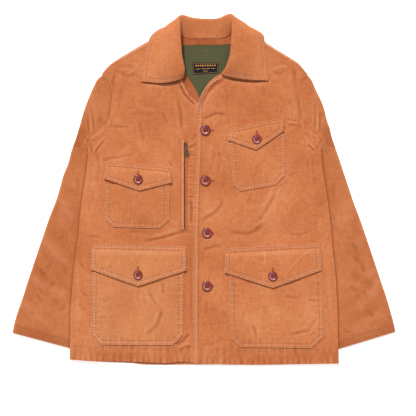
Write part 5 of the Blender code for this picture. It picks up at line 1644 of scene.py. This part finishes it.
def collar_row(gap):
    """A row on the fall, the gap in from its edge: each section is read where its run is that far from it."""
    at = np.clip((run_across[:, -1] - gap) / run_across[:, -1], 0, 1) * (ACROSS - 1)
    index = np.floor(at).astype(int)
    part = (at - index)[:, None]
    row = np.arange(ROUND)
    after = np.minimum(index + 1, ACROSS - 1)
    points = (1 - part) * collar_high[row, index] + part * collar_high[row, after]
    return points, collar_out[row, index]


def collar_end(gap, end):
    """A row beside a short end of the collar, over its fall alone."""
    index = int(np.argmin(np.abs(round_run[:, 0] - (gap if end == 0 else round_run[-1, 0] - gap))))
    keep = run_across[index] > 24
    return collar_high[index][keep], collar_out[index][keep]


rows = [collar_row(gap) for gap in TWO_ROWS] + [collar_end(gap, end) for gap in TWO_ROWS for end in (0, 1)]
stitches("stitches_collar", rows, seam_thread)
sewn = [len(piece.data.polygons) // 14 for title, piece in made.items() if title.startswith("stitches")]
print("stitches in all:", sum(sewn))

# %% [markdown]
# ## Buttons and buttonholes
#
# A casual jacket's button is cast resin, turned on a lathe: a domed rim round a sunk middle with holes.
# The thread crosses between the holes and winds into a shank below. A buttonhole is a slot with close
# whipped stitches round it. On the placket it lies across, and on a flap it runs up and down.

# %% Rings and tubes


def closed_rings(rows, sides):
    """Point numbers of rings one above another, with each ring's first number again at its end."""
    number = np.arange(rows * sides).reshape(rows, sides)
    return np.hstack([number, number[:, :1]])


def tubes(lines, radius, sides):
    """A round tube along each of the lines, which all have the same number of points."""
    lines = np.array(lines)
    ahead = np.gradient(lines, axis=1)
    ahead = ahead / np.linalg.norm(ahead, axis=-1, keepdims=True)
    side = np.cross(ahead, [0.0, 0.0, 1.0])
    side = side / np.linalg.norm(side, axis=-1, keepdims=True)
    up = np.cross(side, ahead)
    turn = np.linspace(0, 2 * math.pi, sides, endpoint=False)[:, None]
    ring = side[:, :, None] * np.cos(turn) + up[:, :, None] * np.sin(turn)
    points = lines[:, :, None] + radius * ring
    count, rows = points.shape[:2]
    starts = rows * sides * np.arange(count)[:, None]
    faces = (grid_faces(closed_rings(rows, sides)) + starts[..., None]).reshape(-1, 4).tolist()
    for end in (0, (rows - 1) * sides):
        faces += (starts + end + np.arange(sides)).tolist()
    return points.reshape(-1, 3), faces


print("a ring of six closes on point", closed_rings(1, 6)[0, -1])

# %% Buttons
WELL = 0.38  # how high the sunk middle lies, as a share of the button's height
BUTTON_PROFILE = [
    (0, 0), (0.5, 0), (0.84, 0.02), (0.96, 0.16), (1.0, 0.42), (0.975, 0.7), (0.9, 0.93), (0.8, 1.0),
    (0.69, 0.94), (0.58, 0.72), (0.48, 0.5), (0.36, 0.4), (0.2, WELL), (0, WELL),
]  # shares of the radius and of the height


def turned(name, x, y, base, radius, segments=56):
    """A button: its profile spun about its centre. Its lip carries a painted highlight, strongest on one
    side.
    """
    share, rise = rounded(BUTTON_PROFILE, steps=4)[1:-1].T[..., None]
    turn = np.linspace(0, 2 * math.pi, segments, endpoint=False)
    flat = 0 * share * turn
    ring = share * radius
    points = np.dstack([x + ring * np.cos(turn), y + ring * np.sin(turn), base + rise * BUTTON_HEIGHT + flat])
    number = closed_rings(len(share), segments)
    low, high = number.max() + 1, number.max() + 2
    faces = grid_faces(number).tolist()
    faces += [[low, number[0, k + 1], number[0, k]] for k in range(segments)]
    faces += [[high, number[-1, k], number[-1, k + 1]] for k in range(segments)]
    # Painted highlight: a pale ring on the rim's inner slope, strongest on its lower left.
    lip = 0.8 * bell(share - 0.62, 0.085) * (rise > 0.45) * np.clip(0.62 + 0.5 * np.cos(turn - 3.6), 0, 1)
    points = np.vstack([points.reshape(-1, 3), [x, y, base], [x, y, base + WELL * BUTTON_HEIGHT]])
    return surface(name, points, faces, resin, numbers={"lip": np.append(lip, [0, 0])}, crease=60)


def thread_bars(name, x, y, z, turn_by):
    """The thread between the holes: a few strands side by side, each an arch from hole to hole."""
    t, offset = np.linspace(-1, 1, 9)[None], np.array([-1.9, -1.2, 1.2, 1.9])[:, None]
    ahead, side = 2.6 * t + 0 * offset, offset + 0 * t
    c, s = math.cos(turn_by), math.sin(turn_by)
    rows = np.dstack([x + c * ahead - s * side, y + s * ahead + c * side, z + 0.55 * (1 - t**4) + 0 * offset])
    points, faces = tubes(rows, 0.38, 6)
    return surface(name, points, faces, button_thread, crease=180)


def flap_cover(spec):
    """The upper face of one flap, as a height function."""

    def height(x, y):
        return flap_under(x, y, spec) + DOUBLE

    return height


places = [
    (f"placket_{number}", x, y, BUTTON_PLACKET_RADIUS, left_face, 0.25 * number)
    for number, (x, y) in enumerate(PLACKET_BUTTONS, start=1)
]
places += [
    (name, *spec["button"], BUTTON_FLAP_RADIUS, flap_cover(spec), 0.4 + 0.3 * number)
    for number, (name, spec) in enumerate(POCKETS.items())
]
for name, x, y, radius, height, turn_by in places:
    node = "button_" + name
    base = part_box(node)[0].z / MM
    button = turned("resin_" + node, x, y, base, radius)
    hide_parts(node)
    bars = thread_bars("thread_" + node, x, y, base + WELL * BUTTON_HEIGHT + 0.1, turn_by)
print("buttons:", len(places))

# %% Buttonholes
SLOT_HALF, WHIP_PITCH = 1.6, 0.85  # half the width of the sewn loop, and from one whipped stitch to the next


def buttonhole(name, start, end, height):
    """Whipped stitches round a slot: short tubes laid across a stadium-shaped loop, side by side."""
    size = math.dist(start, end)
    ahead = (np.array(end) - start) / size
    side = np.array([-ahead[1], ahead[0]])
    half, turn_run = SLOT_HALF, math.pi * SLOT_HALF
    run = np.arange(0, 2 * size + 2 * turn_run, WHIP_PITCH)
    straight = np.clip(run, 0, size)
    arc = np.clip((run - size) / half, 0, math.pi)
    back_run = np.clip(run - size - turn_run, 0, size)
    arc_back = np.clip((run - 2 * size - turn_run) / half, 0, math.pi)
    turn = arc + arc_back
    at = straight + half * np.sin(arc) - back_run - half * np.sin(arc_back)
    off = half * np.where(arc_back > 0, -np.cos(arc_back), np.cos(arc))
    centre = np.array(start) + at[:, None] * ahead + off[:, None] * side
    way = np.cos(turn)[:, None] * side + np.sin(turn)[:, None] * ahead
    t = np.linspace(-1, 1, 5)[None, :, None]
    plan = centre[:, None] + 0.8 * t * way[:, None]
    z = height(plan[..., 0], plan[..., 1]) + 0.1 + 0.45 * (1 - t[..., 0] ** 2)
    points, faces = tubes(np.dstack([plan, z]), 0.42, 5)
    piece = surface(name, points, faces, hole_thread, crease=180)
    return piece


for number, (x, y) in enumerate(PLACKET_BUTTONS, start=1):
    start, end = (x + BUTTON_PLACKET_RADIUS - 2, y - 0.5), (20.5, y - 0.5)
    buttonhole(f"buttonhole_placket_{number}", start, end, left_face)
for name, spec in POCKETS.items():
    x, y = spec["button"]
    buttonhole("buttonhole_" + name, (x, y + 6), (x, y + 17.5), flap_cover(spec))
print("one buttonhole:", len(made["buttonhole_placket_1"].data.polygons), "faces")

# %% [markdown]
# ## Zip
#
# A concealed chest pocket opens with a zip beside the placket. A folded welt of canvas covers one side.
# The tape carries the teeth in the slot between them, and the slider's pull tab hangs from its bridge. The
# tab is the one hard piece that turns without the cloth changing shape, so it rides on its own body.

# %% Welt and tape
TEETH_X, TOOTH_PITCH, TOOTH_HALF = -43.6, 2.1, 1.25


def zip_cloth(node, span, thick, roll, material, edges):
    """A straight band on the right front, with its free edge rolled up a little."""
    x0, x1 = span
    v, u = np.linspace(0, 1, 130)[:, None], np.linspace(0, 1, 12)[None]
    x, y = x0 + (x1 - x0) * u + 0 * v, ZIP_TOP + (ZIP_BOTTOM - ZIP_TOP) * v + 0 * u
    low = right_face(x, y) + SEAM
    high = low + thick + roll * bell(u - 0.85, 0.2) * (1 + 0.4 * uneven(y, 19))
    low, high = np.dstack([x, y, low]), np.dstack([x, y, high])
    piece = cloth("cloth_" + node, low, high, material, edges)
    declare(node)


lip = [(WELT_SPAN[1], ZIP_TOP), (WELT_SPAN[1], ZIP_BOTTOM)]
zip_cloth("zip_welt", WELT_SPAN, CANVAS, 0.9, welt_canvas, [lip])
zip_cloth("zip_tape", TAPE_SPAN, THIN, 0.0, tape_canvas, [])
rows = []
for x in (WELT_SPAN[0] - 2.2, -34.0):
    rows.append(on_height(paced([(x, ZIP_TOP + 2), (x, ZIP_BOTTOM - 2)], 3), right_face))
for y in (ZIP_TOP + 2.4, ZIP_BOTTOM - 2.4):
    rows.append(on_height(paced([(WELT_SPAN[0] - 2, y), (TAPE_SPAN[1] + 2, y)], 3), right_face))
stitches("stitches_zip", rows, seam_thread)
print("welt and tape:", ZIP_TOP - ZIP_BOTTOM, "mm long")

# %% Teeth
y = np.arange(ZIP_TOP - 7, ZIP_BOTTOM + 3, -TOOTH_PITCH)[:, None]
base = right_face(0 * y + TEETH_X, y) + SEAM + THIN
shift = np.where(np.arange(len(y)) % 2 == 0, -0.3, 0.3)[:, None]
t = np.array([[-1.0, -0.5, 0.5, 1.0]])
line = np.dstack([TEETH_X + shift + TOOTH_HALF * t, y + 0 * t, base + 0.25 + 0.15 * (1 - t**2)])
points, faces = tubes(line, 0.62, 6)
teeth = surface("zip_teeth", points, faces, teeth_metal_and_slot_shade, crease=50)
print("teeth:", len(y))

# %% Slider and pull tab
CROSSBAR_Z = 8.939  # millimetres up, under the slider's bridge
slider_node = bpy.data.objects["zip_slider"]
slider_node.data.materials.clear()
slider_node.data.materials.append(bronze)


def tab_outline():
    """Half widths of the tab down its length: narrow at the crossbar, widest near its rounded end."""
    table = [(0, 3.3), (4, 3.4), (9, 3.5), (14, 4.1), (19, 4.8), (23, 5), (25.4, 4.3), (26.6, 2.8), (27, 0.9)]
    line = rounded(table, steps=4)[:, ::-1]
    sides = np.vstack([line * [-1, -1], (line * [1, -1])[::-1]]).tolist()
    outline = [(x, y) for x, y in sides if y < -0.01] + [(3.3, 0.9), (-3.3, 0.9)]
    return [point for k, point in enumerate(outline) if math.dist(point, outline[k - 1]) > 0.05]


def plate(name, loops):
    """A flat mesh inside the first loop and outside the others, which are its holes."""
    work = bmesh.new()
    edges = []
    for loop in loops:
        corners = [work.verts.new((x, y, 0)) for x, y in loop]
        edges += [work.edges.new((a, b)) for a, b in zip(corners, corners[1:] + corners[:1])]
    bmesh.ops.triangle_fill(work, edges=edges, use_beauty=True)
    mesh = bpy.data.meshes.new(name)
    work.to_mesh(mesh)
    work.free()
    return mesh


hole_turn = np.linspace(0, 2 * math.pi, 20, endpoint=False)
eye = [(2.1, 0.6), (2.1, -5.2), (1.5, -5.8), (-1.5, -5.8), (-2.1, -5.2), (-2.1, 0.6)]
small = np.column_stack([1.9 * np.cos(hole_turn), -22.3 + 1.5 * np.sin(hole_turn)]).tolist()
mesh = plate("bronze_pull_tab", [tab_outline(), eye, small])
hinge = mathutils.Vector((*SLIDER_AT, CROSSBAR_Z))
turn = mathutils.Matrix.Rotation(PULL_TILT, 4, "Z") @ mathutils.Matrix.Rotation(PULL_DROOP, 4, "X")
mesh.transform(mathutils.Matrix.Scale(MM, 4) @ mathutils.Matrix.Translation(hinge) @ turn)
tab = bpy.data.objects.new("bronze_pull_tab", mesh)
bpy.context.scene.collection.objects.link(tab)
mesh.materials.append(bronze)
thick = tab.modifiers.new("plate", "SOLIDIFY")
thick.thickness, thick.offset, thick.use_even_offset = PULL_THICKNESS * MM, 0, True
rim = tab.modifiers.new("softened rim", "BEVEL")
rim.width, rim.segments, rim.limit_method = 0.25 * MM, 2, "ANGLE"
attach(tab, "pull_tab")
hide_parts("pull_tab")
made["bronze_pull_tab"] = tab
print("pull tab:", len(mesh.polygons), "faces before its wall and rim")

# %% [markdown]
# ## Table, light and camera
#
# The jacket lies on a light table, an opal sheet lit from below, so that hardly any shadow falls beside
# it. It is looked at from straight above, from far enough that a raised button does not lean. One wide
# softbox stands beyond the collar, so each flap throws a soft dark line below its edge. The room's own
# light fills the rest, so no shade goes black.

# %% Light table
REACH, TABLE_Z = 6.0, -0.0002  # metres: half the table's width, and its face, a hair below the cloth
table_mesh = bpy.data.meshes.new("table_top")
corners = [(x * REACH, y * REACH, TABLE_Z) for x, y in ((-1, -1), (1, -1), (1, 1), (-1, 1))]
table_mesh.from_pydata(corners, [], [(0, 1, 2, 3)])
table_top = bpy.data.objects.new("table_top", table_mesh)
bpy.context.scene.collection.objects.link(table_top)
opal = plain_stuff("opal acrylic light table", "#F7F7F6", "#FBFBFA", 3.0, 0.9, 0.0)
glow = opal.node_tree.nodes["Principled BSDF"]
fill(opal.node_tree, glow, {"Emission Color": linear("#FFFFFF"), "Emission Strength": 0.5})
table_mesh.materials.append(opal)
print("the table is", 2 * REACH, "m wide")

# %% Light


def distant_light(name, towards, strength, spread):
    """Light from a far softbox: its direction, its strength, and how wide it looks, in degrees."""
    lamp = bpy.data.lights.new(name, "SUN")
    lamp.energy, lamp.angle = strength, math.radians(spread)
    holder = bpy.data.objects.new(name, lamp)
    holder.rotation_euler = mathutils.Vector(towards).to_track_quat("-Z", "Y").to_euler()
    bpy.context.scene.collection.objects.link(holder)


distant_light("softbox_key", (0.3, -1.0, -1.12), 2.98, 9)
distant_light("softbox_fill", (-0.5, 0.9, -1.6), 0.4, 60)
world = bpy.data.worlds.new("room")
world.use_nodes = True
background = world.node_tree.nodes["Background"]
fill(world.node_tree, background, {"Color": linear("#FFFFFF"), "Strength": 0.34})
bpy.context.scene.world = world
bpy.context.scene.view_settings.view_transform = "Standard"
bpy.context.scene.view_settings.look = "None"
print("the room's light:", background.inputs["Strength"].default_value)

# %% Camera
LENS, SENSOR = 400.0, 36.0  # millimetres
SEEN, CENTRE = 0.936, (0.009, -0.0416)  # metres: the width in view at 8 mm up, and what lies in the middle
lens = bpy.data.cameras.new("camera")
lens.lens, lens.sensor_width = LENS, SENSOR
camera = bpy.data.objects.new("camera", lens)
camera.location = (*CENTRE, SEEN * LENS / SENSOR + 0.008)
bpy.context.scene.collection.objects.link(camera)
bpy.context.scene.camera = camera
print("camera", round(camera.location.z, 2), "m above the table")
